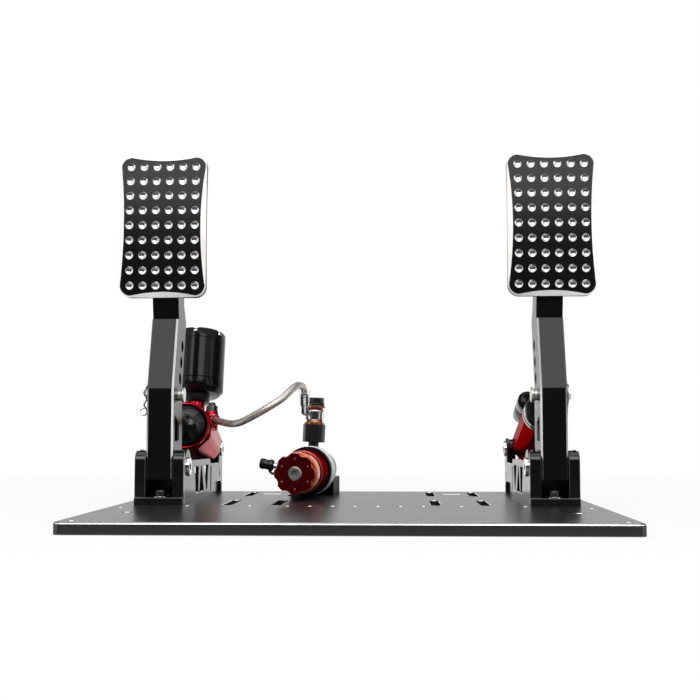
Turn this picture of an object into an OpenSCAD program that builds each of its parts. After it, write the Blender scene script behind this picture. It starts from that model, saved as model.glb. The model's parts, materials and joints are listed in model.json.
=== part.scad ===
// Two-pedal racing pedal set on a slotted base plate: a hydraulic brake on the left
// with its slave cylinder in the middle, and a damped throttle on the right.
// Millimetres, +Z up, +Y away from the driver, origin at the middle of the plate's underside.

/* [Base plate] */
// Width of the base plate, left to right
plate_w = 400; // [380:1:480]
// Depth of the base plate, front to back
plate_d = 400; // [400:1:480]
// Thickness of the base plate
plate_t = 9; // [8:0.5:14]
// Radius of the plate's corners
plate_corner_r = 6; // [3:0.5:10]
// Bright chamfer round the plate's top edge
plate_chamfer = 1; // [0.5:0.1:2]
// Distance of the corner holes from the plate's edges
corner_inset = 11; // [9:0.5:14]
// Radius of the corner holes
corner_hole_r = 2.8; // [2:0.1:4]
// Width of the adjusting slots
slot_w = 8; // [6:0.1:9]
// Length of the adjusting slots
slot_len = 70; // [40:1:74]
// Middle of the front slots, behind the plate's middle
front_slot_y = 14; // [10:1:18]
// Middle of the rear slots, behind the plate's middle
rear_slot_y = 148; // [140:1:152]
// Distance between the two slots of a pair
slot_pair_pitch = 41; // [36:1:42]
// Distance of a slot pair from the plate's middle
slot_pair_x = 87; // [86:1:92]
// Length of the small cross slots between the rear slots
cross_slot_len = 20; // [12:1:24]
// Width of the small cross slots
cross_slot_w = 5; // [4:0.1:6]
// Distance of the hole row in front of the plate's middle
hole_row_y = 31; // [28:0.5:40]
// Pitch of the hole row
hole_row_pitch = 18.5; // [16:0.1:19]
// Radius of the holes in the row
row_hole_r = 2.6; // [2:0.1:3]
// Distance of the foot rest holes from the plate's middle, sideways
foot_hole_x = 169.5; // [160:0.5:175]
// Distance of the foot rest holes in front of the plate's middle
foot_hole_y = 107; // [90:1:130]
// Radius of the foot rest holes
foot_hole_r = 4; // [3:0.1:5]

/* [Pedal unit frames] */
// Distance of a pedal unit from the plate's middle
unit_x = 164; // [155:1:165]
// Place of the pedal pivot, behind the plate's middle
pivot_y = 2; // [-6:0.5:4]
// Height of the pedal pivot above the plate
pivot_h = 31; // [28:0.5:36]
// Depth of the pivot block
block_d = 44; // [40:1:48]
// Thickness of the pivot block's floor
floor_t = 6; // [5:0.5:8]
// Thickness of the clevis ears
ear_t = 6; // [5:0.5:8]
// Depth of the flanges that cover the side plates' front edges
flange_d = 7; // [5:0.5:7]
// Length of the block's foot in front of the ears
foot_lip = 2; // [0:0.5:4]
// Height of the web behind the arm's toe
web_h = 21; // [15:0.5:22]
// Thickness of the web behind the arm's toe
web_t = 2.5; // [2:0.1:2.8]
// Height of the ears above the pivot
ear_rise = 14; // [12:0.5:17]
// Rounding of the ears' top corners
ear_round = 9; // [6:0.5:12]
// Thickness of the side plates
side_t = 3; // [2:0.5:5]
// Radius of the side plates' lobe round the pedal pivot
front_lobe_r = 14.5; // [12:0.5:16]
// Height of the side plates' long top edge above the plate
side_h = 35; // [33:0.5:38]
// Height of the side plates' rear part above the plate
side_rear_h = 29.5; // [28:0.5:32]
// Distance from the pedal pivot to the rear pivot
rear_y = 185; // [180:1:187]
// Height of the rear pivot above the plate
rear_h = 43; // [41:0.5:46]
// Radius of the lobe round the rear pivot
rear_lobe_r = 11; // [10:0.5:12]
// Depth of the rear block's foot
rear_foot_d = 58; // [50:1:60]
// Height of the rear block's foot
rear_foot_h = 13; // [12:0.5:16]
// Radius of the pivot shafts
shaft_r = 6; // [5:0.1:6.5]

/* [Pedal arms] */
// Width of a pedal arm
arm_w = 22.4; // [20:0.2:26]
// Depth of a pedal arm, front to back
arm_depth = 40; // [38:0.5:44]
// Distance of the arm's front from the pivot
arm_front = 21.5; // [20.5:0.5:22]
// Length of the arm below the pivot
arm_toe = 10; // [9:0.5:12]
// Height where the arm starts to lean, above the pivot
shin_z = 20; // [18:0.5:22]
// Height of the lower bend above the pivot
lower_bend = 66; // [62:1:70]
// Height of the upper bend above the pivot
upper_bend = 126; // [123:1:130]
// Lean of the arm below the lower bend, in degrees
lower_lean = 0.6; // [0:0.1:2]
// Lean of the arm between the bends, in degrees
upper_lean = 16.5; // [15.5:0.1:17.5]
// Depth of the arm's head behind the pedal plate
head_depth = 27; // [25:0.5:30]
// Height of the arm's top above the pivot
arm_top = 230; // [225:1:245]
// Height of the rod pin above the pedal pivot
pin_z = 61; // [59:0.5:63]
// Place of the rod pin behind the pedal pivot
pin_y = 4; // [2:0.5:5]
// Radius of the rod pin
pin_r = 4.9; // [4:0.1:5.2]
// Distance between the rod pin's holes up the arm
pin_pitch = 15; // [14:0.5:16]
// Number of spare pin holes above the rod pin
spare_holes = 3; // [1:1:3]
// Width of the arm's slot for the rod eye
eye_slot_w = 10; // [9:0.5:12]
// Length of the rod pin's end that stands out on the inner side
pin_stub = 5; // [3:0.5:7]
// Wall of the arm's pivot bushes
bush_wall = 2; // [1.5:0.1:3]
// Length of one pivot bush
bush_len = 9; // [6:0.5:10]

/* [Pedal plates] */
// Width of a pedal plate
face_w = 74; // [70:1:90]
// Length of a pedal plate
face_h = 122; // [118:1:130]
// Thickness of a pedal plate
face_t = 9; // [8:0.5:11]
// Radius of the pedal plate's bow
face_bow_r = 320; // [310:5:340]
// Lean of the pedal plate at its middle, in degrees
face_tilt = 1.3; // [1:0.1:2]
// Height of the pedal plate's middle above the pivot
face_mid_z = 205.2; // [204:0.1:207]
// Place of the pedal plate's middle in front of the pivot
face_mid_y = 16; // [15.5:0.1:16.5]
// Distance that the pedal plates stand outboard of their arms
face_shift = 1; // [0:0.5:4]
// Width of the hollowed bevels on the pedal plate's long edges, at their middle
side_waist = 4.2; // [1:0.1:4.5]
// Width of the hollowed bevels on the pedal plate's short edges, at their middle
end_waist = 4.2; // [1:0.1:4.5]
// Radius of the pedal plate's corners
face_corner_r = 9.5; // [6:0.5:11]
// Number of dimples across the pedal plate
dimple_cols = 6; // [3:1:6]
// Number of dimples up the pedal plate
dimple_rows = 9; // [5:1:9]
// Distance between dimples across the plate
dimple_pitch_x = 11.2; // [10:0.1:12]
// Distance between dimples up the plate
dimple_pitch_y = 12.9; // [12:0.1:13.5]
// Radius of a dimple at the surface
dimple_r = 3.4; // [2.5:0.1:3.8]
// Depth of a dimple
dimple_depth = 1.5; // [0.8:0.1:2]

/* [Brake cylinder] */
// Distance across the flats of the brake cylinder
brake_flats = 46; // [43:0.5:47]
// Start of the brake cylinder's body, from the rear pivot
brake_back = 18; // [17:0.5:20]
// End of the brake cylinder's body, from the rear pivot
brake_front = 85; // [82:0.5:90]
// Radius of the brake cylinder's bore
brake_bore_r = 11; // [9:0.5:12]
// Radius of the domed front cap
cap_r = 20.5; // [18:0.5:21]
// Height of the domed front cap
cap_h = 15; // [10:0.5:17]
// Radius of the brake push rod
brake_rod_r = 4; // [3:0.1:4.5]
// Length of the brake piston
brake_piston_len = 14; // [10:0.5:16]
// Radius of the eyes on the rear pivots
rear_eye_r = 10; // [9.5:0.5:11]
// Width of the eyes on the rear pivots
rear_eye_w = 16; // [12:0.5:20]
// Radius of the rod eyes
rod_eye_r = 9.5; // [9:0.1:10]
// Width of the rod eyes
rod_eye_w = 8; // [7:0.5:8.5]

/* [Reservoir] */
// Place of the reservoir along the cylinder, from the rear pivot
reservoir_w = 42; // [41:0.5:46]
// Radius of the reservoir
reservoir_r = 26; // [22:0.5:26.5]
// Height of the reservoir's body
reservoir_h = 63.5; // [50:0.5:66]
// Height of the reservoir's lower rim
reservoir_rim_h = 12; // [8:0.5:16]
// Radius of the reservoir's neck
neck_r = 9; // [7:0.5:11]
// Height of the reservoir's neck
neck_h = 21; // [18:0.5:24]
// Wall of the reservoir
reservoir_wall = 3; // [2:0.5:4]
// Thickness of the reservoir's cap
reservoir_cap_h = 10; // [9:0.5:12]
// Number of screws in the reservoir's cap
cap_screws_n = 6; // [3:1:8]

/* [Throttle damper] */
// Distance across the flats of the damper tube
damper_flats = 30; // [28:0.5:32]
// Start of the damper tube, from the rear pivot
damper_back = 14; // [13:0.5:18]
// End of the damper tube, from the rear pivot
damper_front = 126; // [120:0.5:127]
// Radius of the damper's bore
damper_bore_r = 11; // [9:0.5:11.5]
// Length of the damper's gland in front of the tube
gland_h = 11; // [9:0.5:12]
// Radius of the damper's gland
gland_r = 15; // [14:0.5:15.5]
// Width of the bright rings on the gland
ring_h = 2.5; // [1.5:0.1:4]
// Radius of the damper's rod
damper_rod_r = 4.5; // [3:0.1:5]
// Radius of the damper's canister
canister_r = 9; // [8:0.1:9.5]
// Length of the damper's canister
canister_len = 54; // [40:1:60]
// Front end of the canister, from the rear pivot
canister_front = 90; // [85:0.5:110]
// Sideways place of the canister from the damper's axis
canister_in = 7; // [6:0.5:10]
// Height of the canister over the damper's axis
canister_up = 25; // [24.5:0.5:27]

/* [Slave cylinder] */
// Place of the preload knob's front, left of the plate's middle
slave_x = 55; // [52:1:60]
// Place of the preload knob's front, behind the plate's middle
slave_y = 30; // [26:1:34]
// Height of the slave cylinder's axis above the plate
slave_h = 24; // [23:0.5:28]
// Turn of the slave cylinder from straight ahead, in degrees
slave_yaw = 4.5; // [2:0.5:8]
// Radius of the preload knob
knob_r = 18.5; // [15:0.5:19.5]
// Length of the preload knob
knob_len = 16; // [12:0.5:18]
// Number of finger grooves in the knob
knob_grooves = 8; // [6:1:10]
// Radius of the guide rod
guide_r = 6.3; // [5:0.1:6.5]
// Radius of the elastomer
elastomer_r = 18; // [15:0.5:19]
// Length of the elastomer
elastomer_len = 18.6; // [14:0.1:20]
// Radius of the slave piston's flange
flange_r = 19.4; // [17:0.1:20]
// Thickness of the slave piston's flange
flange_t = 7; // [4:0.5:8]
// Gap that the slave piston's sleeve shows in front of the housing
sleeve_gap = 4; // [3:0.5:6]
// Radius of the slave piston's sleeve
sleeve_r = 9.5; // [8.5:0.1:11]
// Radius of the slave cylinder's front housing
housing_r = 20; // [18:0.5:20.5]
// Length of the slave cylinder's front housing
housing_len = 26; // [22:0.5:28]
// Radius of the collar behind the front housing
collar_r = 22.6; // [20.5:0.1:23]
// Length of the collar
collar_len = 8; // [5:0.5:10]
// Radius of the pale ring
pale_ring_r = 23; // [21.5:0.1:23.2]
// Length of the pale ring
pale_ring_len = 18; // [12:0.5:20]
// Radius of the rear housing
tail_r = 18.5; // [17.5:0.5:20]
// Length of the rear housing
tail_len = 46; // [44:0.5:54]
// Width of the cradle under the rear housing
cradle_w = 42; // [40:0.5:44]
// Height of the cradle above the plate
cradle_h = 17; // [14:0.5:20]
// Reach of the bleed screw and its cap from the slave cylinder's axis
bleed_reach = 43; // [40:0.5:46]

/* [Hose end] */
// Diameter of the braided hose
hose_d = 6.6; // [5:0.1:7]
// Lean of the hose union, in degrees
union_lean = 2.5; // [0:0.5:5]
// Distance across the flats of the union's hexagon
union_flats = 19; // [17:0.5:21]
// Length of the union's hexagon
union_len = 17; // [14:0.5:20]
// Radius of the banjo eye
banjo_r = 9.5; // [8:0.1:10.5]
// Height of the banjo eye
banjo_h = 14; // [12:0.5:16]
// Thickness of the sealing washers
washer_t = 2; // [1:0.1:2.5]
// Radius of the hose's crimped ferrule
ferrule_r = 4.7; // [4:0.1:5.5]

/* [Fasteners] */
// Radius of the mounting bolts
bolt_r = 3; // [2.5:0.1:3.2]
// Radius of the mounting bolts' heads
bolt_head_r = 5; // [4.5:0.1:5.5]
// Height of the mounting bolts' heads
bolt_head_h = 6; // [5:0.1:6.2]
// Radius of the bright cap screws on the pivots
cap_screw_r = 8; // [7:0.1:9]
// Thickness of the bright cap screws
cap_screw_h = 2; // [1.5:0.1:3]
// Wire radius of the pin clips
clip_wire_r = 0.9; // [0.6:0.1:1]

/* [Clearances] */
// Radial clearance of a turning fit
run_gap = 0.03; // [0.02:0.01:0.08]
// Radial clearance of a fixed fit
fixed_gap = 0.02; // [0.01:0.01:0.05]
// Clearance on each side of a pedal arm
arm_gap = 0.3; // [0.2:0.05:0.5]
// Radial clearance of a rod eye on its pin
eye_gap = 0.8; // [0.7:0.05:1]
// Clearance between faces that are seated but not pressed
seat_gap = 0.1; // [0.05:0.01:0.3]
// Clearance of a bolt in a drilled hole
drill_gap = 0.2; // [0.1:0.05:0.4]

/* [Hidden] */
$fn = 64;
// Overshoot of a cut past the face that it opens
over = 1;
coil_sides = 6;
octagon = 8;

// Pedal unit, in its own frame: x to the inner side, y from the pedal pivot, z from the plate's top
block_w = arm_w + 2 * (arm_gap + ear_t);
unit_w = block_w + 2 * side_t;
ear_h = pivot_h + ear_rise;
shaft_screw_r = 3;
shaft_screw_len = 10;
block_bolts = [-block_d / 2 + 8, block_d / 2 - 8];
rear_foot_back = rear_y + rear_lobe_r - 2;
rear_foot_front = rear_foot_back - rear_foot_d;
rear_bolts = [rear_foot_front + 11, rear_foot_front + 29];
rear_ear_d = 2 * (rear_lobe_r - 1);

// Side plate: notch over the rear block and the tapered lightening slots
side_front = block_d / 2 - flange_d - seat_gap;
notch_front = rear_foot_front - 2;
notch_back = rear_y + 3;
notch_h = 11.5;
step_y = notch_front - 18;
truss_low = 6.5;
truss_high = side_h - 5.3;
truss_bays = [[[32, truss_high], [53.5, truss_high], [52.6, truss_low], [39, truss_low]],
              [[65, truss_high], [69, truss_high], [81.8, truss_low], [57.4, truss_low]],
              [[82.8, truss_high], [109, truss_high], [100.6, truss_low], [95, truss_low]]];
upright_slot_y = step_y + 3;
upright_slot_w = 6;
tail_slot_y = rear_y - 9;
tail_slot_w = 4;

// Pedal arm, from the pedal pivot
lower_front = -arm_front + (lower_bend - shin_z) * tan(lower_lean);
upper_front = lower_front + (upper_bend - lower_bend) * tan(upper_lean);
head_step = 14;
bush_r = shaft_r + run_gap + bush_wall;
pin_lean = 18;
pin_hole_r = pin_r + seat_gap;
eye_slot_low = pin_z - rod_eye_r - 7;
eye_slot_high = upper_bend - 6;
eye_slot_depth = rod_eye_r + 2.5;
window_low = 22;
window_front = 13;
window_w = 19;

// Pedal plate: the bow's centre lies behind the arm, so the arm's head takes the same curve
face_centre = [0, -face_mid_y + face_bow_r * cos(face_tilt), face_mid_z - face_bow_r * sin(face_tilt)];
face_back_r = face_bow_r - face_t;
side_bevel_drop = 4.5;
end_bevel_drop = 4;
end_angle = asin((face_h / 2) / face_bow_r);
dimple_ball_r = (dimple_r * dimple_r + dimple_depth * dimple_depth) / (2 * dimple_depth);
plate_screw_tilts = [face_tilt - 6, face_tilt + 1];
plate_screw_grip = 20;
plate_screw_bite = 6;
plate_screw_head_h = 5;

// Rod line: from the rear pivot up to the rod pin
link_rise = pivot_h + pin_z - rear_h;
link_run = rear_y - pin_y;
link_tilt = atan2(link_rise, link_run);
link_len = norm([link_run, link_rise]);
rod_nut_h = 5;
rod_nut_r = 8;
rod_nut_w = link_len - 34.5;
outlet_side = 20.2;
outlet_up = 12.5;
outlet_w = brake_front - 17.9;
outlet_r = 6.5;
outlet_rise = 6.5;
outlet_drop = 10.5;
outlet_stub_r = 5;
neck_top = brake_flats / 2 + neck_h;
reservoir_top = neck_top + reservoir_h;
spring_wire = 1.1;

// Slave cylinder, along its own axis from the knob's front
elastomer_u = knob_len + seat_gap;
flange_u = elastomer_u + elastomer_len + seat_gap;
housing_u = flange_u + flange_t + sleeve_gap;
collar_u = housing_u + housing_len;
pale_ring_u = collar_u + collar_len;
tail_u = pale_ring_u + pale_ring_len;
tail_end = tail_u + tail_len;
spigot_r = 12;
sleeve_len = 14;
rear_wall = 6;
bleed_u = housing_u + 14;
bleed_lift = 10;
bleed_hex_r = 4;
bleed_cap_r = 5.3;
bleed_cap_len = 13;
cradle_bolts = [tail_u + 14, tail_end - 12];
cradle_bolt_x = 12;
cradle_thread = 6;

// Hose union on the slave cylinder's rear housing
union_u = tail_u + 11;
union_neck_r = 5;
union_neck_h = 8;
union_sink = 6;
union_bolt_r = 4.5;
union_head_r = 8.5;
union_head_h = 5.5;
union_flange_h = 2.5;
washer_r = banjo_r + 0.5;
// Way from the banjo's middle to the bend of its neck, which then rises to the hose
banjo_neck = [-9, -8.5, 3.5];
eye_up = union_neck_h + union_len + washer_t + banjo_h / 2;

// Brake hose: middle line from the brake cylinder's outlet to the crimped ferrule
hose_route = [[-138.2, 117.6, 80.9], [-134.5, 111, 79.5], [-129.5, 103, 78.5], [-124.5, 94.5, 77.5],
              [-119.5, 86.5, 77], [-114, 78.5, 77], [-107.5, 72, 78.5], [-100.5, 66.5, 81.5],
              [-92.5, 63, 85.5], [-84.5, 62, 90], [-76.5, 63.5, 95], [-69.5, 67.5, 100],
              [-64.5, 73.5, 105.5], [-60.5, 81, 110], [-57.5, 89.5, 112.5], [-55.5, 98, 112.5],
              [-54, 105, 111.5], [-53, 111, 107.5]];
hose_sides = 10;

// Places of the two units and of the lines that pieces are built on
module brake_side() {
  translate([-unit_x, pivot_y, plate_t]) children();
}

module throttle_side() {
  mirror([1, 0, 0]) brake_side() children();
}

module at_pivot() {
  translate([0, 0, pivot_h]) children();
}

module on_rod_line() {
  translate([0, rear_y, rear_h]) rotate([90 - link_tilt, 0, 0]) children();
}

module on_face(tilt, radius) {
  translate(face_centre) rotate([90 - tilt, 0, 0]) translate([0, 0, radius]) children();
}

module on_slave_line(u = 0) {
  translate([-slave_x, slave_y, plate_t + slave_h])
    rotate([0, 0, -slave_yaw])
      rotate([-90, 0, 0])
        translate([0, 0, u])
          children();
}

function slave_point(u, side, up) =
  [-slave_x + u * sin(slave_yaw) + side * cos(slave_yaw),
   slave_y + u * cos(slave_yaw) - side * sin(slave_yaw),
   plate_t + slave_h + up];

union_foot = slave_point(union_u, 0, tail_r);
banjo_middle = union_foot + eye_up * [sin(union_lean), 0, cos(union_lean)];
banjo_elbow = banjo_middle + banjo_neck;

module on_union(h = 0) {
  translate(union_foot) rotate([0, union_lean, 0]) translate([0, 0, h]) children();
}

// Turns +Z to run from one point to another
module along(from, to) {
  way = to - from;
  translate(from)
    rotate([0, acos(way[2] / norm(way)), atan2(way[1], way[0])])
      children();
}

// Basic shapes
module across(width) {
  translate([-width / 2, 0, 0]) rotate([90, 0, 90]) linear_extrude(width) children();
}

module cross_pin(r, width) {
  rotate([0, 90, 0]) cylinder(r = r, h = width, center = true);
}

module ring(outer, inner, h) {
  difference() {
    cylinder(r = outer, h = h);
    translate([0, 0, -over]) cylinder(r = inner, h = h + 2 * over);
  }
}

module octagon_bar(flats, h) {
  rotate([0, 0, 180 / octagon])
    cylinder(r = flats / 2 / cos(180 / octagon), h = h, $fn = octagon);
}

module hexagon_bar(flats, h) {
  cylinder(r = flats / 2 / cos(30), h = h, $fn = 6);
}

module socket_bolt(grip, r, head_r, head_h) {
  translate([0, 0, -grip]) cylinder(r = r, h = grip);
  difference() {
    cylinder(r = head_r, h = head_h);
    translate([0, 0, head_h / 2]) hexagon_bar(head_r, head_h);
  }
}

module slot_cut(length, width, h) {
  translate([-width / 2, -(length - width) / 2, 0]) cube([width, length - width, h]);
  for (s = [-1, 1])
    translate([0, s * (length - width) / 2, 0]) cylinder(r = width / 2, h = h);
}

// Coil of round wire as one tube: rings of points along a helix, closed at both ends
function coil_ring(i, steps, mean_r, wire_r, pitch) =
  let (turn = 360 * i / steps, slope = atan2(pitch, 2 * PI * mean_r))
  [for (k = [0:coil_sides - 1])
    let (a = 360 * k / coil_sides, out = wire_r * cos(a), lift = wire_r * sin(a))
    [(mean_r + out) * cos(turn) + lift * sin(slope) * sin(turn),
     (mean_r + out) * sin(turn) - lift * sin(slope) * cos(turn),
     pitch * i / steps + lift * cos(slope)]];

function tube_faces(rings, sides) = concat(
  [for (k = [1:sides - 2]) [0, k, k + 1]],
  [for (k = [1:sides - 2]) [(rings - 1) * sides, (rings - 1) * sides + k + 1, (rings - 1) * sides + k]],
  [for (i = [0:rings - 2], k = [0:sides - 1]) [i * sides + k, (i + 1) * sides + k, i * sides + (k + 1) % sides]],
  [for (i = [0:rings - 2], k = [0:sides - 1])
    [i * sides + (k + 1) % sides, (i + 1) * sides + k, (i + 1) * sides + (k + 1) % sides]]);

module coil(mean_r, wire_r, length, turns) {
  steps = 8;
  pitch = (length - 2 * wire_r) / turns;
  rings = steps * turns + 1;
  points = [for (i = [0:rings - 1]) each coil_ring(i, steps, mean_r, wire_r, pitch)];
  echo(coil_gap = pitch * cos(atan2(pitch, 2 * PI * mean_r)) - 2 * wire_r);
  translate([0, 0, wire_r]) polyhedron(points, tube_faces(rings, coil_sides));
}

// Base plate and what bolts to it
extra_row_x = [86.5, 138];
side_hole = [188, 52];
head_room = 0.4;

function both(list) = [for (x = list) each x == 0 ? [0] : [-x, x]];

module chamfered_slab(w, d, t, r, c) {
  module edge_profile(span) {
    polygon([[-span / 2, 0], [span / 2, 0], [span / 2, t - c], [span / 2 - c, t], [c - span / 2, t],
             [-span / 2, t - c]]);
  }
  translate([0, d / 2 - r, 0]) rotate([90, 0, 0]) linear_extrude(d - 2 * r) edge_profile(w);
  translate([r - w / 2, 0, 0]) rotate([90, 0, 90]) linear_extrude(w - 2 * r) edge_profile(d);
  for (x = [-1, 1], y = [-1, 1])
    translate([x * (w / 2 - r), y * (d / 2 - r), 0]) {
      cylinder(r = r, h = t - c);
      translate([0, 0, t - c]) cylinder(r1 = r, r2 = r - c, h = c);
    }
}

module plate_hole(x, y, r) {
  translate([x, y, -over]) cylinder(r = r, h = plate_t + 2 * over);
}

module base_plate() {
  row = concat([for (k = [0:3]) k * hole_row_pitch], extra_row_x);
  color("dimgray")
    difference() {
      chamfered_slab(plate_w, plate_d, plate_t, plate_corner_r, plate_chamfer);
      for (x = [-1, 1], y = [-1, 1])
        plate_hole(x * (plate_w / 2 - corner_inset), y * (plate_d / 2 - corner_inset), corner_hole_r);
      for (x = both(row)) plate_hole(x, -hole_row_y, row_hole_r);
      for (x = both([side_hole[0]])) plate_hole(x, -side_hole[1], row_hole_r);
      for (x = both([foot_hole_x])) plate_hole(x, -foot_hole_y, foot_hole_r);
      for (x = both([slot_pair_x - slot_pair_pitch / 2, slot_pair_x + slot_pair_pitch / 2])) {
        translate([x, front_slot_y, -over]) slot_cut(slot_len, slot_w, plate_t + 2 * over);
        translate([x, rear_slot_y, -over]) slot_cut(slot_len, slot_w, plate_t + 2 * over);
      }
      for (x = both([slot_pair_x]))
        translate([x, rear_slot_y, -over])
          rotate([0, 0, 90])
            slot_cut(cross_slot_len, cross_slot_w, plate_t + 2 * over);
      for (x = both([unit_x]), y = concat(block_bolts, rear_bolts))
        plate_hole(x, pivot_y + y, bolt_r + drill_gap);
      for (u = cradle_bolts, s = both([cradle_bolt_x])) {
        spot = slave_point(u, s, 0);
        plate_hole(spot[0], spot[1], bolt_r + drill_gap);
        translate([spot[0], spot[1], -over])
          cylinder(r = bolt_head_r + drill_gap, h = bolt_head_h + head_room + over);
      }
    }
}

module mounting_bolts() {
  foot = plate_t - over / 2;
  color("silver") {
    for (side = [0, 1]) mirror([side, 0, 0]) brake_side() {
      for (y = block_bolts)
        translate([0, y, floor_t]) socket_bolt(floor_t + foot, bolt_r, bolt_head_r, bolt_head_h);
      for (y = rear_bolts)
        translate([0, y, rear_foot_h]) socket_bolt(rear_foot_h + foot, bolt_r, bolt_head_r, bolt_head_h);
    }
    for (u = cradle_bolts, s = both([cradle_bolt_x])) {
      spot = slave_point(u, s, 0);
      translate([spot[0], spot[1], bolt_head_h + head_room])
        mirror([0, 0, 1])
          socket_bolt(plate_t - bolt_head_h - head_room + cradle_thread, bolt_r, bolt_head_r, bolt_head_h);
    }
  }
}

// Pedal unit frames
module ear_profile() {
  translate([-block_d / 2, 0]) square([block_d, ear_h - ear_round]);
  translate([ear_round - block_d / 2, 0]) square([block_d - 2 * ear_round, ear_h]);
  for (s = [-1, 1])
    translate([s * (block_d / 2 - ear_round), ear_h - ear_round]) circle(ear_round);
}

module pivot_block() {
  color("#18181a")
    difference() {
      union() {
        translate([-block_w / 2, -block_d / 2, 0]) cube([block_w, block_d, floor_t]);
        translate([-unit_w / 2, -block_d / 2 - foot_lip, 0]) cube([unit_w, foot_lip + flange_d, floor_t]);
        translate([-block_w / 2, block_d / 2 - web_t, 0]) cube([block_w, web_t, web_h]);
        for (s = [-1, 1]) {
          translate([s * (block_w - ear_t) / 2, 0, 0]) across(ear_t) ear_profile();
          translate([s * (block_w / 2 - over + side_t / 2), 0, 0]) across(side_t + 2 * over)
            intersection() {
              ear_profile();
              translate([-block_d, 0]) square([block_d / 2 + flange_d, 2 * ear_h]);
            }
        }
      }
      at_pivot() cross_pin(shaft_r + fixed_gap, block_w + 2 * over);
      for (y = block_bolts)
        translate([0, y, -over]) cylinder(r = bolt_r + drill_gap, h = floor_t + 2 * over);
    }
}

module rear_block() {
  color("#18181a")
    difference() {
      union() {
        translate([-block_w / 2, rear_foot_front, 0]) cube([block_w, rear_foot_d, rear_foot_h]);
        for (s = [-1, 1]) translate([s * (block_w - ear_t) / 2, 0, 0]) across(ear_t) {
          translate([rear_y - rear_ear_d / 2, 0]) square([rear_ear_d, rear_h]);
          translate([rear_y, rear_h]) circle(rear_ear_d / 2);
        }
      }
      translate([0, rear_y, rear_h]) cross_pin(shaft_r + fixed_gap, block_w + 2 * over);
      for (y = rear_bolts)
        translate([0, y, -over]) cylinder(r = bolt_r + drill_gap, h = rear_foot_h + 2 * over);
    }
}

module side_plate_outline() {
  translate([-side_front, 0]) square([side_front + front_lobe_r, pivot_h]);
  translate([0, pivot_h]) circle(front_lobe_r);
  polygon([[0, 0], [notch_front - 3, 0], [notch_front, notch_h - 3], [notch_front + 3, notch_h],
           [notch_back - 3, notch_h], [notch_back, notch_h - 3], [notch_back, 0], [rear_foot_back, 0],
           [rear_foot_back, rear_h], [rear_y - rear_lobe_r, rear_h], [rear_y - rear_lobe_r - 2, side_rear_h],
           [step_y + 5, side_rear_h + 1], [step_y, side_h], [front_lobe_r - 1, side_h + 1], [0, side_h + 1]]);
  translate([rear_y, rear_h]) circle(rear_lobe_r);
}

module side_plate() {
  color("#202023")
    across(side_t)
      difference() {
        side_plate_outline();
        for (bay = truss_bays) polygon(bay);
        translate([upright_slot_y, 4]) square([upright_slot_w, side_rear_h - 5.5]);
        translate([tail_slot_y, notch_h + 4.5]) square([tail_slot_w, side_rear_h - notch_h - 6]);
        translate([0, pivot_h]) circle(shaft_r + fixed_gap);
        translate([rear_y, rear_h]) circle(shaft_r + fixed_gap);
      }
}

module place_side_plate(inner) {
  translate([inner * (block_w + side_t) / 2, 0, 0]) side_plate();
}

module pivot_shaft() {
  difference() {
    cross_pin(shaft_r, unit_w);
    for (s = [-1, 1])
      translate([s * (unit_w / 2 - shaft_screw_len / 2), 0, 0])
        cross_pin(shaft_screw_r + fixed_gap, shaft_screw_len + head_room);
  }
}

module pivot_shafts() {
  color("silver")
    for (side = [0, 1]) mirror([side, 0, 0]) brake_side() {
      at_pivot() pivot_shaft();
      translate([0, rear_y, rear_h]) pivot_shaft();
    }
}

module cap_screw_pair() {
  for (s = [-1, 1])
    translate([s * unit_w / 2, 0, 0])
      rotate([0, s * 90, 0])
        socket_bolt(shaft_screw_len - over, shaft_screw_r, cap_screw_r, cap_screw_h);
}

module cap_screws() {
  color("gainsboro")
    for (side = [0, 1]) mirror([side, 0, 0]) brake_side() {
      at_pivot() cap_screw_pair();
      translate([0, rear_y, rear_h]) cap_screw_pair();
    }
}

// Pedal arms, from the pedal pivot
function face_y(z) = face_centre[1] - sqrt(pow(face_back_r, 2) - pow(z - face_centre[2], 2));
function pin_place(k) = [0, pin_y + k * pin_pitch * sin(pin_lean), pin_z + k * pin_pitch * cos(pin_lean)];

module arm_leg() {
  polygon([[-arm_front, -arm_toe], [-arm_front, shin_z], [lower_front, lower_bend],
           [upper_front, upper_bend], [upper_front + arm_depth - 1, upper_bend],
           [lower_front + arm_depth, lower_bend], [arm_depth + 2 - arm_front, shin_z],
           [arm_depth - 4 - arm_front, -arm_toe]]);
}

module arm_head() {
  low = upper_bend + head_step;
  polygon([[upper_front - 2 * head_step, upper_bend], [upper_front - 2 * head_step, arm_top],
           [face_y(arm_top) + head_depth - 4, arm_top], [face_y(low) + head_depth, low],
           [upper_front + arm_depth - 1, upper_bend]]);
}

module plate_screw_cuts() {
  for (tilt = plate_screw_tilts) {
    on_face(tilt, face_back_r - 2 * plate_screw_grip)
      cylinder(r = bolt_r + drill_gap, h = 3 * plate_screw_grip);
    on_face(tilt, face_back_r - 3 * plate_screw_grip)
      cylinder(r = bolt_head_r + drill_gap, h = 2 * plate_screw_grip);
  }
}

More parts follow.
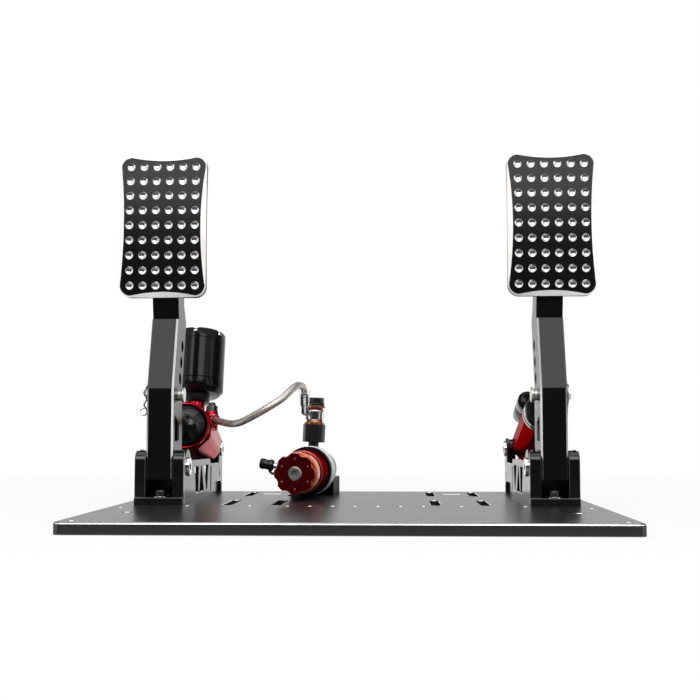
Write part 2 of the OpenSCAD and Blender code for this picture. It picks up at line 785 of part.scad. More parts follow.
module arm() {
  color("#161618")
    difference() {
      union() {
        across(arm_w) arm_leg();
        intersection() {
          across(arm_w) arm_head();
          translate(face_centre) cross_pin(face_back_r - seat_gap, arm_w + 2 * over);
        }
      }
      cross_pin(bush_r + fixed_gap, arm_w + 2 * over);
      for (k = [0:spare_holes]) translate(pin_place(k)) cross_pin(pin_hole_r, arm_w + 2 * over);
      across(eye_slot_w)
        polygon([[pin_y - eye_slot_depth, eye_slot_low], [pin_y - eye_slot_depth, pin_z + rod_eye_r],
                 [pin_y - eye_slot_depth + (eye_slot_high - pin_z - rod_eye_r) * tan(pin_lean), eye_slot_high],
                 [2 * arm_depth, eye_slot_high], [2 * arm_depth, eye_slot_low]]);
      across(arm_w + 2 * over)
        polygon([[-window_front, window_low], [window_w - window_front, window_low],
                 [window_w - window_front, eye_slot_low - 8], [-window_front, eye_slot_low - 1]]);
      plate_screw_cuts();
    }
}

// Rounded outline, and a hollowed bevel on each edge that fades out at the corners
module face_outline() {
  square([face_w - 2 * face_corner_r, face_h], center = true);
  square([face_w, face_h - 2 * face_corner_r], center = true);
  for (s = [-1, 1], t = [-1, 1])
    translate([s * (face_w / 2 - face_corner_r), t * (face_h / 2 - face_corner_r)]) circle(face_corner_r);
}

function hollow_r(half, waist) = (pow(half, 2) + pow(waist, 2)) / (2 * waist);

module bevel_cone(r, waist, drop) {
  translate([0, 0, -drop]) cylinder(r1 = r - waist, r2 = r + waist * over / drop, h = drop + over, $fn = 256);
}

module face_bevels() {
  long_r = hollow_r(face_h / 2 - face_corner_r / 2, side_waist);
  short_r = hollow_r(face_w / 2 - face_corner_r / 2, end_waist);
  for (s = [-1, 1]) {
    translate([s * (face_w / 2 - side_waist + long_r) - face_shift, 0, 0])
      on_face(face_tilt, face_bow_r) bevel_cone(long_r, side_waist, side_bevel_drop);
    translate([-face_shift, 0, 0])
      on_face(face_tilt + s * end_angle, face_bow_r)
        translate([0, s * (short_r - end_waist), 0]) bevel_cone(short_r, end_waist, end_bevel_drop);
  }
}

module pedal_plate() {
  step = dimple_pitch_y / face_bow_r * 180 / PI;
  color("#1a1a1c")
    difference() {
      intersection() {
        translate([-face_shift, 0, 0]) on_face(face_tilt, face_back_r - face_t - 2 * over)
          linear_extrude(3 * face_t) face_outline();
        translate(face_centre) cross_pin(face_bow_r, 2 * face_w, $fn = 256);
      }
      translate(face_centre) cross_pin(face_back_r, 2 * face_w, $fn = 256);
      face_bevels();
      for (i = [0:dimple_cols - 1], j = [0:dimple_rows - 1])
        translate([(i - (dimple_cols - 1) / 2) * dimple_pitch_x - face_shift, 0, 0])
          on_face(face_tilt + (j - (dimple_rows - 1) / 2) * step, face_bow_r + dimple_ball_r - dimple_depth)
            sphere(dimple_ball_r);
      for (tilt = plate_screw_tilts)
        on_face(tilt, face_back_r - over) cylinder(r = bolt_r + fixed_gap, h = plate_screw_bite + 2 * over);
    }
}

module plate_screws() {
  color("silver")
    for (tilt = plate_screw_tilts)
      on_face(tilt, face_back_r - plate_screw_grip)
        mirror([0, 0, 1])
          socket_bolt(plate_screw_grip + plate_screw_bite, bolt_r, bolt_head_r, plate_screw_head_h);
}

module arm_bushes() {
  color("darkgoldenrod")
    for (s = [-1, 1])
      translate([s * (arm_w - bush_len) / 2, 0, 0])
        rotate([0, 90, 0])
          translate([0, 0, -bush_len / 2])
            ring(bush_r, shaft_r + run_gap, bush_len);
}

// Rod pin with its head on the inner side and a wire clip through its outer end
pin_tail = 6;
pin_head_r = 6.5;
pin_head_h = 2;
clip_x = -arm_w / 2 - pin_tail / 2;
clip_bend_r = 4;
clip_leg = 13;
clip_free_leg = 7;

module rod_pin() {
  color("silver")
    translate(pin_place(0))
      difference() {
        union() {
          translate([(pin_stub - pin_tail) / 2, 0, 0]) cross_pin(pin_r, arm_w + pin_stub + pin_tail);
          translate([arm_w / 2 + pin_stub - pin_head_h / 2, 0, 0]) cross_pin(pin_head_r, pin_head_h);
        }
        translate([clip_x, 0, 0]) cylinder(r = clip_wire_r + seat_gap, h = 3 * pin_r, center = true);
      }
}

module pin_clip() {
  color("silver")
    translate(pin_place(0))
      translate([clip_x, 0, 0]) {
        translate([0, 0, -pin_r - 2]) cylinder(r = clip_wire_r, h = clip_leg + pin_r + 2);
        translate([-clip_bend_r, 0, -pin_r - 2])
          rotate([-90, 0, 0])
            rotate_extrude(angle = 180)
              translate([clip_bend_r, 0]) circle(clip_wire_r);
        translate([-2 * clip_bend_r, 0, -pin_r - 2]) cylinder(r = clip_wire_r, h = clip_free_leg);
      }
}

// Brake cylinder, along the rod line from the rear pivot
brake_bore_end = brake_back + 12;
brake_piston_w = brake_front - 13 - brake_piston_len;
body_round = 1;

function rod_line_point(side, up, w) =
  [-unit_x + side, pivot_y + rear_y - w * cos(link_tilt) + up * sin(link_tilt),
   plate_t + rear_h + w * sin(link_tilt) + up * cos(link_tilt)];

outlet_point = rod_line_point(outlet_side, outlet_up, outlet_w);

module rear_eye(reach) {
  cross_pin(rear_eye_r, rear_eye_w);
  translate([-rear_eye_w / 2, -rear_eye_r, 0]) cube([rear_eye_w, 2 * rear_eye_r, reach]);
}

module master_cylinder() {
  color("crimson")
    difference() {
      union() {
        brake_side() on_rod_line() {
          rear_eye(brake_back + over);
          intersection() {
            translate([0, 0, brake_back]) octagon_bar(brake_flats, brake_front - brake_back);
            rotate_extrude()
              polygon([[0, brake_back], [brake_flats / 2 - 3, brake_back],
                       [brake_flats / 2 + body_round, brake_back + 4],
                       [brake_flats / 2 + body_round, brake_front - 4],
                       [brake_flats / 2 - 3, brake_front], [0, brake_front]]);
          }
        }
        on_reservoir_line() translate([0, 0, brake_flats / 2 - over]) cylinder(r = neck_r, h = neck_h + over);
        translate(outlet_point)
          rotate([-link_tilt, 0, 0])
            translate([0, 0, -outlet_drop])
              cylinder(r = outlet_r, h = outlet_drop + outlet_rise);
        along(outlet_point, hose_route[0])
          cylinder(r = outlet_stub_r, h = norm(hose_route[0] - outlet_point));
      }
      brake_side() on_rod_line() {
        cross_pin(shaft_r + run_gap, rear_eye_w + 2 * over);
        translate([0, 0, brake_bore_end]) cylinder(r = brake_bore_r, h = brake_front);
      }
      translate(outlet_point)
        rotate([-link_tilt, 0, 0])
          translate([0, 0, outlet_rise - outlet_bolt_bite])
            cylinder(r = bolt_r + fixed_gap, h = 2 * outlet_bolt_bite);
    }
}

outlet_bolt_bite = 8;

module outlet_bolt() {
  color("dimgray")
    translate(outlet_point)
      rotate([-link_tilt, 0, 0])
        translate([0, 0, outlet_rise]) {
          cylinder(r = outlet_r - 0.5, h = 1.5);
          translate([0, 0, 1.5]) hexagon_bar(2 * outlet_r - 3, 5);
          translate([0, 0, 6.5]) cylinder(r = outlet_r - 3, h = 3);
          translate([0, 0, over / 2 - outlet_bolt_bite]) cylinder(r = bolt_r, h = outlet_bolt_bite);
        }
}

module master_front_cap() {
  color("#141416")
    brake_side() on_rod_line()
      translate([0, 0, brake_front])
        rotate_extrude()
          difference() {
            union() {
              square([cap_r, 2]);
              intersection() {
                translate([0, 2 - (pow(cap_r, 2) - pow(cap_h - 2, 2)) / (2 * (cap_h - 2))])
                  circle((pow(cap_r, 2) + pow(cap_h - 2, 2)) / (2 * (cap_h - 2)), $fn = 128);
                square([cap_r, cap_h]);
              }
            }
            translate([-over, -over]) square([brake_rod_r + over + seat_gap, cap_h + 2 * over]);
          }
}

module on_reservoir_line() {
  brake_side() on_rod_line() translate([0, 0, reservoir_w]) rotate([-90, 0, 0]) children();
}

module reservoir() {
  top = reservoir_top - reservoir_cap_h;
  rim = neck_top + reservoir_rim_h;
  inner = reservoir_r - reservoir_wall;
  groove = 0.8;
  color("#161618")
    on_reservoir_line()
      rotate_extrude()
        polygon([[neck_r / 2, neck_top], [reservoir_r - 4, neck_top],
                 [reservoir_r, neck_top + 4], [reservoir_r, rim], [reservoir_r - groove, rim],
                 [reservoir_r - groove, rim + groove], [reservoir_r, rim + groove], [reservoir_r, top],
                 [inner, top], [inner, neck_top + 2 * reservoir_wall],
                 [neck_r / 2, neck_top + reservoir_wall]]);
}

cap_screw_pcd_r = reservoir_r - 1.6;
cap_notch_h = 5;
small_screw_grip = 3;
small_screw_r = 1;
small_head_r = 2.6;
small_head_h = 2.2;

module around_cap() {
  for (k = [0:cap_screws_n - 1])
    rotate([0, 0, 360 * (k + 0.5) / cap_screws_n]) translate([cap_screw_pcd_r, 0, 0]) children();
}

module reservoir_cap() {
  inner = reservoir_r - reservoir_wall - seat_gap;
  bevel = 1.5;
  color("#161618")
    on_reservoir_line()
      translate([0, 0, reservoir_top - reservoir_cap_h])
        difference() {
          rotate_extrude()
            polygon([[0, -4], [inner, -4], [inner, 0], [reservoir_r, 0], [reservoir_r, reservoir_cap_h - bevel],
                     [reservoir_r - bevel, reservoir_cap_h], [0, reservoir_cap_h]]);
          around_cap() translate([0, 0, 1])
            cylinder(r = small_screw_r + fixed_gap, h = reservoir_cap_h);
          around_cap() translate([0, 0, reservoir_cap_h - cap_notch_h])
            cylinder(r = small_head_r + drill_gap, h = reservoir_cap_h);
        }
}

module reservoir_screws() {
  color("silver")
    on_reservoir_line()
      translate([0, 0, reservoir_top - cap_notch_h])
        around_cap() socket_bolt(small_screw_grip, small_screw_r, small_head_r, small_head_h);
}

module rod_with_eye(r, back) {
  difference() {
    union() {
      translate([0, 0, back]) cylinder(r = r, h = link_len - back - rod_eye_r + 2);
      translate([0, 0, link_len]) cross_pin(rod_eye_r, rod_eye_w);
    }
    translate([0, 0, link_len]) cross_pin(pin_r + eye_gap, rod_eye_w + 2 * over);
  }
}

module rod_nut(r) {
  translate([0, 0, rod_nut_w])
    difference() {
      cylinder(r = rod_nut_r, h = rod_nut_h, $fn = 6);
      translate([0, 0, -over]) cylinder(r = r + fixed_gap, h = rod_nut_h + 2 * over);
    }
}

module brake_pushrod() {
  color("silver") brake_side() on_rod_line() rod_with_eye(brake_rod_r, brake_piston_w + brake_piston_len);
}

module brake_rod_nut() {
  color("silver") brake_side() on_rod_line() rod_nut(brake_rod_r);
}

module master_piston() {
  color("silver")
    brake_side() on_rod_line()
      translate([0, 0, brake_piston_w])
        cylinder(r = brake_bore_r - seat_gap, h = brake_piston_len);
}

module master_spring() {
  color("lightgray")
    brake_side() on_rod_line()
      translate([0, 0, brake_bore_end + seat_gap])
        coil(brake_bore_r - 3 * spring_wire, spring_wire, brake_piston_w - brake_bore_end - 2 * seat_gap, 6);
}

// Throttle damper, along the rod line from the rear pivot
damper_bore_end = damper_back + 10;
damper_piston_len = 12;
damper_piston_w = damper_front - 14 - damper_piston_len;
canister_way = norm([canister_in, canister_up]);
canister_turn = atan2(canister_up, canister_in);
port_r = 5;
port_seat = damper_flats / 2 + 1.5;
port_w = canister_front - 9;

module on_damper() {
  throttle_side() on_rod_line() children();
}

module to_canister() {
  rotate([0, 0, canister_turn]) children();
}

module damper_tube() {
  color("crimson")
    on_damper()
      difference() {
        union() {
          rear_eye(damper_back + over);
          translate([0, 0, damper_back]) octagon_bar(damper_flats, damper_front - damper_back);
          to_canister() translate([0, 0, port_w]) rotate([0, 90, 0]) cylinder(r = port_r, h = port_seat);
        }
        cross_pin(shaft_r + run_gap, rear_eye_w + 2 * over);
        translate([0, 0, damper_bore_end]) cylinder(r = damper_bore_r, h = damper_front);
      }
}

module damper_gland() {
  color("#141416")
    on_damper() translate([0, 0, damper_front]) ring(gland_r, damper_rod_r + seat_gap, gland_h);
}

module damper_rings() {
  color("silver")
    on_damper()
      for (w = [0, gland_h - ring_h])
        translate([0, 0, damper_front + w]) ring(damper_flats / 2 + 1.5, gland_r + fixed_gap, ring_h);
}

module damper_canister() {
  waist = 1;
  band_h = 5;
  band = canister_len - 21;
  color("#141416")
    on_damper() to_canister() {
      translate([canister_way, 0, canister_front - canister_len])
        rotate_extrude()
          polygon([[0, 0], [canister_r - 2, 0], [canister_r, 2], [canister_r, band - waist],
                   [canister_r - waist, band], [canister_r - waist, band + band_h],
                   [canister_r, band + band_h + waist], [canister_r, canister_len - 3],
                   [canister_r - 3, canister_len], [0, canister_len]]);
      translate([port_seat, 0, port_w])
        rotate([0, 90, 0])
          cylinder(r = port_r - 1, h = canister_way - port_seat);
    }
}

module damper_spring() {
  color("lightgray")
    on_damper()
      translate([0, 0, damper_bore_end + seat_gap])
        coil(damper_bore_r - 3 * spring_wire, spring_wire, damper_piston_w - damper_bore_end - 2 * seat_gap, 14);
}

module damper_rod() {
  color("silver") on_damper() rod_with_eye(damper_rod_r, damper_piston_w + damper_piston_len);
}

module damper_rod_nut() {
  color("silver") on_damper() rod_nut(damper_rod_r);
}

module damper_piston() {
  color("silver")
    on_damper()
      translate([0, 0, damper_piston_w])
        cylinder(r = damper_bore_r - seat_gap, h = damper_piston_len);
}

// Slave cylinder
module slave_cradle() {
  low = slave_h - cradle_h;
  color("#18181a")
    difference() {
      on_slave_line(tail_u + 2)
        difference() {
          translate([-cradle_w / 2, low, 0]) cube([cradle_w, cradle_h, tail_len]);
          translate([0, 0, -over]) cylinder(r = tail_r + seat_gap, h = tail_len + 2 * over);
        }
      for (u = cradle_bolts, s = both([cradle_bolt_x])) {
        spot = slave_point(u, s, 0);
        translate([spot[0], spot[1], plate_t - over])
          cylinder(r = bolt_r + fixed_gap, h = cradle_thread + over + head_room);
      }
    }
}

module bleed_line() {
  on_slave_line(bleed_u) rotate([0, 0, 180 + bleed_lift]) rotate([0, 90, 0]) children();
}

bleed_bite = 8;
bleed_hex_h = 5;
nipple_r = 2.6;
nipple_end = bleed_reach - 5;
strap_r = 1.2;
strap_bend = 4;

module slave_housing() {
  groove = 1;
  color("darkred")
    difference() {
      on_slave_line(housing_u)
        rotate_extrude()
          polygon([[sleeve_r + seat_gap, 0], [housing_r - 1, 0], [housing_r, 1], [housing_r, 5],
                   [housing_r - groove, 5.5], [housing_r - groove, 7], [housing_r, 7.5],
                   [housing_r, housing_len], [guide_r + fixed_gap, housing_len],
                   [guide_r + fixed_gap, housing_len - rear_wall],
                   [sleeve_r + seat_gap, housing_len - rear_wall]]);
      bleed_line() translate([0, 0, housing_r - bleed_bite])
        cylinder(r = nipple_r + fixed_gap, h = 2 * bleed_bite);
      bleed_line() translate([0, 0, housing_r - 1]) cylinder(r = bleed_hex_r + 1, h = bleed_bite);
    }
}

module bleed_screw() {
  color("silver")
    bleed_line() {
      translate([0, 0, housing_r - bleed_bite + head_room])
        cylinder(r = nipple_r, h = nipple_end - housing_r + bleed_bite - head_room);
      translate([0, 0, housing_r - 1]) cylinder(r = bleed_hex_r, h = bleed_hex_h, $fn = 6);
    }
}

module bleed_cap() {
  eyelet = housing_r + bleed_hex_h - 0.8;
  start = bleed_reach - bleed_cap_len;
  color("#141416")
    bleed_line() {
      difference() {
        translate([0, 0, start]) rotate_extrude()
          polygon([[0, 0], [bleed_cap_r - 1, 0], [bleed_cap_r, 1], [bleed_cap_r, 4], [bleed_cap_r - 0.7, 5],
                   [bleed_cap_r - 0.7, bleed_cap_len - 4], [bleed_cap_r, bleed_cap_len - 3],
                   [bleed_cap_r - 1, bleed_cap_len], [0, bleed_cap_len]]);
        translate([0, 0, start - over])
          cylinder(r = nipple_r + fixed_gap, h = nipple_end - start + over + head_room);
      }
      translate([0, 0, eyelet]) ring(bleed_hex_r, nipple_r + fixed_gap, 2 * strap_r);
      translate([0, -bleed_hex_r + 0.6, eyelet + strap_r + strap_bend])
        rotate([0, 0, -90])
          rotate([90, 0, 0])
            rotate([0, 0, -90])
              rotate_extrude(angle = 180)
                translate([strap_bend, 0]) circle(strap_r);
    }
}

module slave_collar() {
  color("#141416") on_slave_line(collar_u) ring(collar_r, spigot_r + fixed_gap, collar_len);
}

module slave_pale_ring() {
  color("whitesmoke") on_slave_line(pale_ring_u) ring(pale_ring_r, spigot_r + fixed_gap, pale_ring_len);
}

module slave_rear_housing() {
  color("#161618")
    difference() {
      on_slave_line(collar_u) {
        cylinder(r = spigot_r, h = tail_u - collar_u + over);
        translate([0, 0, tail_u - collar_u])
          rotate_extrude()
            polygon([[0, 0], [tail_r - 1, 0], [tail_r, 1], [tail_r, tail_len - 2], [tail_r - 2, tail_len],
                     [0, tail_len]]);
      }
      on_union(-union_sink - head_room) cylinder(r = union_neck_r + fixed_gap, h = 3 * union_sink);
    }
}

module slave_guide_rod() {
  chamfer = 1;
  color("silver")
    on_slave_line(-over)
      difference() {
        rotate_extrude()
          polygon([[0, 0], [guide_r - chamfer, 0], [guide_r, chamfer], [guide_r, collar_u + over],
                   [0, collar_u + over]]);
        translate([0, 0, -over]) hexagon_bar(guide_r, 4 + over);
      }
}

module slave_piston() {
  color("indianred")
    on_slave_line(flange_u)
      difference() {
        union() {
          cylinder(r = flange_r, h = flange_t);
          cylinder(r = sleeve_r, h = flange_t + sleeve_gap + sleeve_len);
        }
        translate([0, 0, -over])
          cylinder(r = guide_r + seat_gap, h = flange_t + sleeve_gap + sleeve_len + 2 * over);
      }
}

module elastomer() {
  color("orange") on_slave_line(elastomer_u) ring(elastomer_r, guide_r + arm_gap, elastomer_len);
}

module preload_knob() {
  groove_r = 6;
  groove_depth = 1.8;
  mark_r = 1.1;
  color("#b01020")
    on_slave_line()
      difference() {
        rotate_extrude()
          polygon([[guide_r + run_gap, 0], [knob_r - 2, 0], [knob_r, 2], [knob_r, knob_len - 1],
                   [knob_r - 1, knob_len], [guide_r + run_gap, knob_len]]);
        for (k = [0:knob_grooves - 1])
          rotate([0, 0, 360 * (k + 0.5) / knob_grooves])
            translate([knob_r + groove_r - groove_depth, 0, -over])
              cylinder(r = groove_r, h = knob_len + 2 * over);
        for (k = [0:5])
          rotate([0, 0, 60 * k + 30]) translate([knob_r * 0.72, 0, -over]) cylinder(r = mark_r, h = 2 + over);
      }
}

// Hose union, banjo eye and hose
module hose_union() {
  color("#18181a")
    difference() {
      union() {
        on_union(-union_sink) cylinder(r = union_neck_r, h = union_sink + union_neck_h + over);
        on_union(union_neck_h) hexagon_bar(union_flats, union_len);
      }
      on_union(union_neck_h + 4) cylinder(r = union_bolt_r + fixed_gap, h = union_len);
    }
}

module banjo_eye() {
  hose_end = hose_route[len(hose_route) - 1];
  stem_r = ferrule_r - 1;
  reach = norm(hose_end - banjo_elbow);
  grip = 16;
  color("gainsboro")
    difference() {
      union() {
        on_union(eye_up - banjo_h / 2) rotate_extrude()
          polygon([[0, 0], [banjo_r - 2, 0], [banjo_r, 3], [banjo_r, banjo_h - 3], [banjo_r - 2, banjo_h],
                   [0, banjo_h]]);
        along(banjo_middle, banjo_elbow) cylinder(r = stem_r, h = norm(banjo_neck));
        translate(banjo_elbow) sphere(stem_r + 0.4);
        along(banjo_elbow, hose_end) {
          cylinder(r = stem_r, h = reach);
          translate([0, 0, reach - grip]) cylinder(r = ferrule_r, h = grip);
        }
      }
      on_union() cylinder(r = union_bolt_r + drill_gap, h = 3 * eye_up);
    }
}

module banjo_washers() {
  color("chocolate")
    for (h = [eye_up - banjo_h / 2 - washer_t, eye_up + banjo_h / 2])
      on_union(h) ring(washer_r, union_bolt_r + drill_gap, washer_t);
}

module banjo_bolt() {
  seat = eye_up + banjo_h / 2 + washer_t;
  color("dimgray") {
    on_union(union_neck_h + 4 + head_room) cylinder(r = union_bolt_r, h = seat - union_neck_h - 4);
    on_union(seat) cylinder(r = union_head_r + 0.5, h = union_flange_h);
    on_union(seat + union_flange_h) cylinder(r = union_head_r, h = union_head_h, $fn = 6);
  }
}

function route_way(i) =
  let (last = len(hose_route) - 1)
  i == 0 ? hose_route[0] - outlet_point :
  i == last ? banjo_elbow - hose_route[last] :
  hose_route[i + 1] - hose_route[i - 1];

function hose_ring(i) =
  let (way = route_way(i) / norm(route_way(i)), flat = cross(way, [0, 0, 1]), side = flat / norm(flat),
       rise = cross(side, way))
  [for (k = [0:hose_sides - 1])
    let (a = 360 * k / hose_sides)
    hose_route[i] + hose_d / 2 * (cos(a) * rise + sin(a) * side)];

module brake_hose() {
  rings = len(hose_route);
  color("#9a8f84")
    polyhedron([for (i = [0:rings - 1]) each hose_ring(i)], tube_faces(rings, hose_sides));
}

module brake_pivot_block() { brake_side() pivot_block(); }
module brake_side_plate_inner() { brake_side() place_side_plate(1); }
module brake_side_plate_outer() { brake_side() place_side_plate(-1); }
module brake_rear_block() { brake_side() rear_block(); }
module brake_arm() { brake_side() at_pivot() arm(); }
module brake_pedal_plate() { brake_side() at_pivot() pedal_plate(); }
module brake_plate_screws() { brake_side() at_pivot() plate_screws(); }
module brake_arm_bushes() { brake_side() at_pivot() arm_bushes(); }
module brake_rod_pin() { brake_side() at_pivot() rod_pin(); }
module brake_pin_clip() { brake_side() at_pivot() pin_clip(); }
module throttle_pivot_block() { throttle_side() pivot_block(); }
module throttle_side_plate_inner() { throttle_side() place_side_plate(1); }
module throttle_side_plate_outer() { throttle_side() place_side_plate(-1); }
module throttle_rear_block() { throttle_side() rear_block(); }
module throttle_arm() { throttle_side() at_pivot() arm(); }
module throttle_pedal_plate() { throttle_side() at_pivot() pedal_plate(); }
module throttle_plate_screws() { throttle_side() at_pivot() plate_screws(); }
module throttle_arm_bushes() { throttle_side() at_pivot() arm_bushes(); }
module throttle_rod_pin() { throttle_side() at_pivot() rod_pin(); }
module throttle_pin_clip() { throttle_side() at_pivot() pin_clip(); }

base_plate();
mounting_bolts();
brake_pivot_block();
brake_side_plate_inner();
brake_side_plate_outer();
brake_rear_block();
throttle_pivot_block();
throttle_side_plate_inner();
throttle_side_plate_outer();
throttle_rear_block();
pivot_shafts();
cap_screws();
brake_arm();
brake_pedal_plate();
brake_plate_screws();
brake_arm_bushes();
brake_rod_pin();
brake_pin_clip();
throttle_arm();
throttle_pedal_plate();
throttle_plate_screws();
throttle_arm_bushes();
throttle_rod_pin();
throttle_pin_clip();
master_cylinder();
master_front_cap();
reservoir();
reservoir_cap();
reservoir_screws();
outlet_bolt();
master_spring();
brake_pushrod();
brake_rod_nut();
master_piston();
damper_tube();
damper_gland();
damper_rings();
damper_canister();
damper_spring();
damper_rod();
damper_rod_nut();
damper_piston();
slave_cradle();
slave_housing();
slave_collar();
slave_pale_ring();
slave_rear_housing();
slave_guide_rod();
slave_piston();
elastomer();
preload_knob();
bleed_screw();
bleed_cap();
hose_union();
banjo_eye();
banjo_washers();
banjo_bolt();
brake_hose();
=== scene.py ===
import json
import math

import bmesh
import bpy
from mathutils import Matrix, Vector


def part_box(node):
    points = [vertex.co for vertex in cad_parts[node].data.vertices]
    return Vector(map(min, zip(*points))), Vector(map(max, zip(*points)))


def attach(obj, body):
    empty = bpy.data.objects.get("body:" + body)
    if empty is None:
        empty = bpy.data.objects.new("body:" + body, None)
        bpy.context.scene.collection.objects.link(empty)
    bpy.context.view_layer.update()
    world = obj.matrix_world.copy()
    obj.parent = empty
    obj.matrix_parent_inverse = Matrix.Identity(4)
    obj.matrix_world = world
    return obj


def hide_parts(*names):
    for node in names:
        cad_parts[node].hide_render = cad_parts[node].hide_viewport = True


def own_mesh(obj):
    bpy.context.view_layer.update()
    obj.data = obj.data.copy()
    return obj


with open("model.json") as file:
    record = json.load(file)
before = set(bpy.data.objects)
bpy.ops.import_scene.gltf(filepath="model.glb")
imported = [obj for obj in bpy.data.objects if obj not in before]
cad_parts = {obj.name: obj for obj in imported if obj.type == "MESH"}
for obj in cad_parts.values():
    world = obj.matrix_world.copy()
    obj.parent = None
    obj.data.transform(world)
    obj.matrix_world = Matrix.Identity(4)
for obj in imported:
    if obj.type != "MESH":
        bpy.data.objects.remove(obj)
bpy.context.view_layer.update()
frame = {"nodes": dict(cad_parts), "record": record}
nodes = frame["nodes"]
bodyOf = {node: body for body, names in frame["record"]["behaviour"]["bodies"].items() for node in names}
slotOf = {part["node"]: part["material_slot"] for part in frame["record"]["subparts"]}
scene = bpy.context.scene
scene.view_settings.view_transform = "Standard"
millimetre = 0.001
print("frame loaded with", len(nodes), "nodes")

# Places that several pieces share: each unit's side offset, its rear shaft and rod pin as front-to-back and
# height, and the front and yaw of the slave cylinder's middle line
unitSettings = {"side": 0.164, "rear": (0.187, 0.052), "pin": (0.006, 0.101)}
slaveSettings = {"front": (-0.055, 0.030, 0.033), "yaw": math.radians(4.5)}
slaveFront = Vector(slaveSettings["front"])
slaveWay = Vector((math.sin(slaveSettings["yaw"]), math.cos(slaveSettings["yaw"]), 0))

# Camera at the photograph's viewing angle
cameraSettings = {"place": (0.0321, -0.9706, 0.0704), "pitch": 94.042, "turn": 2.218, "lens": 58.83,
                  "sensor": 36}


def makeCamera(s):
    data = bpy.data.cameras.new("photoCamera")
    data.sensor_width = s["sensor"]
    data.lens = s["lens"]
    camera = bpy.data.objects.new("photoCamera", data)
    camera.location = s["place"]
    camera.rotation_euler = (math.radians(s["pitch"]), 0, math.radians(s["turn"]))
    scene.collection.objects.link(camera)
    scene.camera = camera


makeCamera(cameraSettings)
print("camera placed")


# Shader helpers
def newGroup(name, inputs, outputs):
    group = bpy.data.node_groups.new(name, "ShaderNodeTree")
    for kind, label, value in inputs:
        socket = group.interface.new_socket(label, in_out="INPUT", socket_type=kind)
        if value is not None:
            socket.default_value = value
    for kind, label in outputs:
        group.interface.new_socket(label, in_out="OUTPUT", socket_type=kind)
    return group, group.nodes.new("NodeGroupInput"), group.nodes.new("NodeGroupOutput")


def addNoise(tree, vector, scale, detail=3.0, stretch=None):
    if stretch:
        mapping = tree.nodes.new("ShaderNodeMapping")
        mapping.inputs["Scale"].default_value = stretch
        tree.links.new(vector, mapping.inputs["Vector"])
        vector = mapping.outputs["Vector"]
    noise = tree.nodes.new("ShaderNodeTexNoise")
    noise.inputs["Detail"].default_value = detail
    tree.links.new(vector, noise.inputs["Vector"])
    if isinstance(scale, (int, float)):
        noise.inputs["Scale"].default_value = scale
    else:
        tree.links.new(scale, noise.inputs["Scale"])
    return noise.outputs["Fac"]


def addMath(tree, kind, first, second, clamp=False):
    node = tree.nodes.new("ShaderNodeMath")
    node.operation = kind
    node.use_clamp = clamp
    for place, value in ((0, first), (1, second)):
        if isinstance(value, (int, float)):
            node.inputs[place].default_value = value
        else:
            tree.links.new(value, node.inputs[place])
    return node.outputs["Value"]


def addMix(tree, factor, first, second):
    node = tree.nodes.new("ShaderNodeMix")
    node.data_type = "RGBA"
    for place, value in ((0, factor), (6, first), (7, second)):
        if isinstance(value, (int, float, tuple)):
            node.inputs[place].default_value = value
        else:
            tree.links.new(value, node.inputs[place])
    return node.outputs[2]


def addRange(tree, value, low, high, toLow, toHigh):
    node = tree.nodes.new("ShaderNodeMapRange")
    tree.links.new(value, node.inputs["Value"])
    for label, number in (("From Min", low), ("From Max", high), ("To Min", toLow), ("To Max", toHigh)):
        node.inputs[label].default_value = number
    return node.outputs["Result"]


# Machined skin: fine tool grain, blotches of sheen and a few specks of dust
def makeSkinGroup():
    group, given, result = newGroup(
        "machinedSkin",
        [("NodeSocketVector", "Vector", None), ("NodeSocketColor", "Colour", (0.02, 0.02, 0.02, 1)),
         ("NodeSocketFloat", "Roughness", 0.25), ("NodeSocketFloat", "Spread", 0.06),
         ("NodeSocketFloat", "Grain", 2400.0), ("NodeSocketFloat", "Dust", 0.02)],
        [("NodeSocketColor", "Colour"), ("NodeSocketFloat", "Roughness"), ("NodeSocketFloat", "Height")])
    vector = given.outputs["Vector"]
    grain = addNoise(group, vector, given.outputs["Grain"], 2.0)
    blotch = addNoise(group, vector, 38.0, 3.0)
    swing = addMath(group, "SUBTRACT", addMath(group, "ADD", grain, blotch), 1.0)
    rough = addMath(group, "MULTIPLY_ADD", swing, given.outputs["Spread"])
    group.links.new(given.outputs["Roughness"], rough.node.inputs[2])
    group.links.new(addMath(group, "MAXIMUM", rough, 0.03), result.inputs["Roughness"])
    speck = addRange(group, addNoise(group, vector, 900.0, 1.0), 0.74, 0.80, 0.0, 1.0)
    mask = addMath(group, "MULTIPLY", speck, given.outputs["Dust"], True)
    shade = group.nodes.new("ShaderNodeHueSaturation")
    group.links.new(given.outputs["Colour"], shade.inputs["Color"])
    group.links.new(addRange(group, blotch, 0.3, 0.7, 0.9, 1.1), shade.inputs["Value"])
    group.links.new(addMix(group, mask, shade.outputs["Color"], (0.6, 0.6, 0.6, 1)), result.inputs["Colour"])
    group.links.new(grain, result.inputs["Height"])
    return group


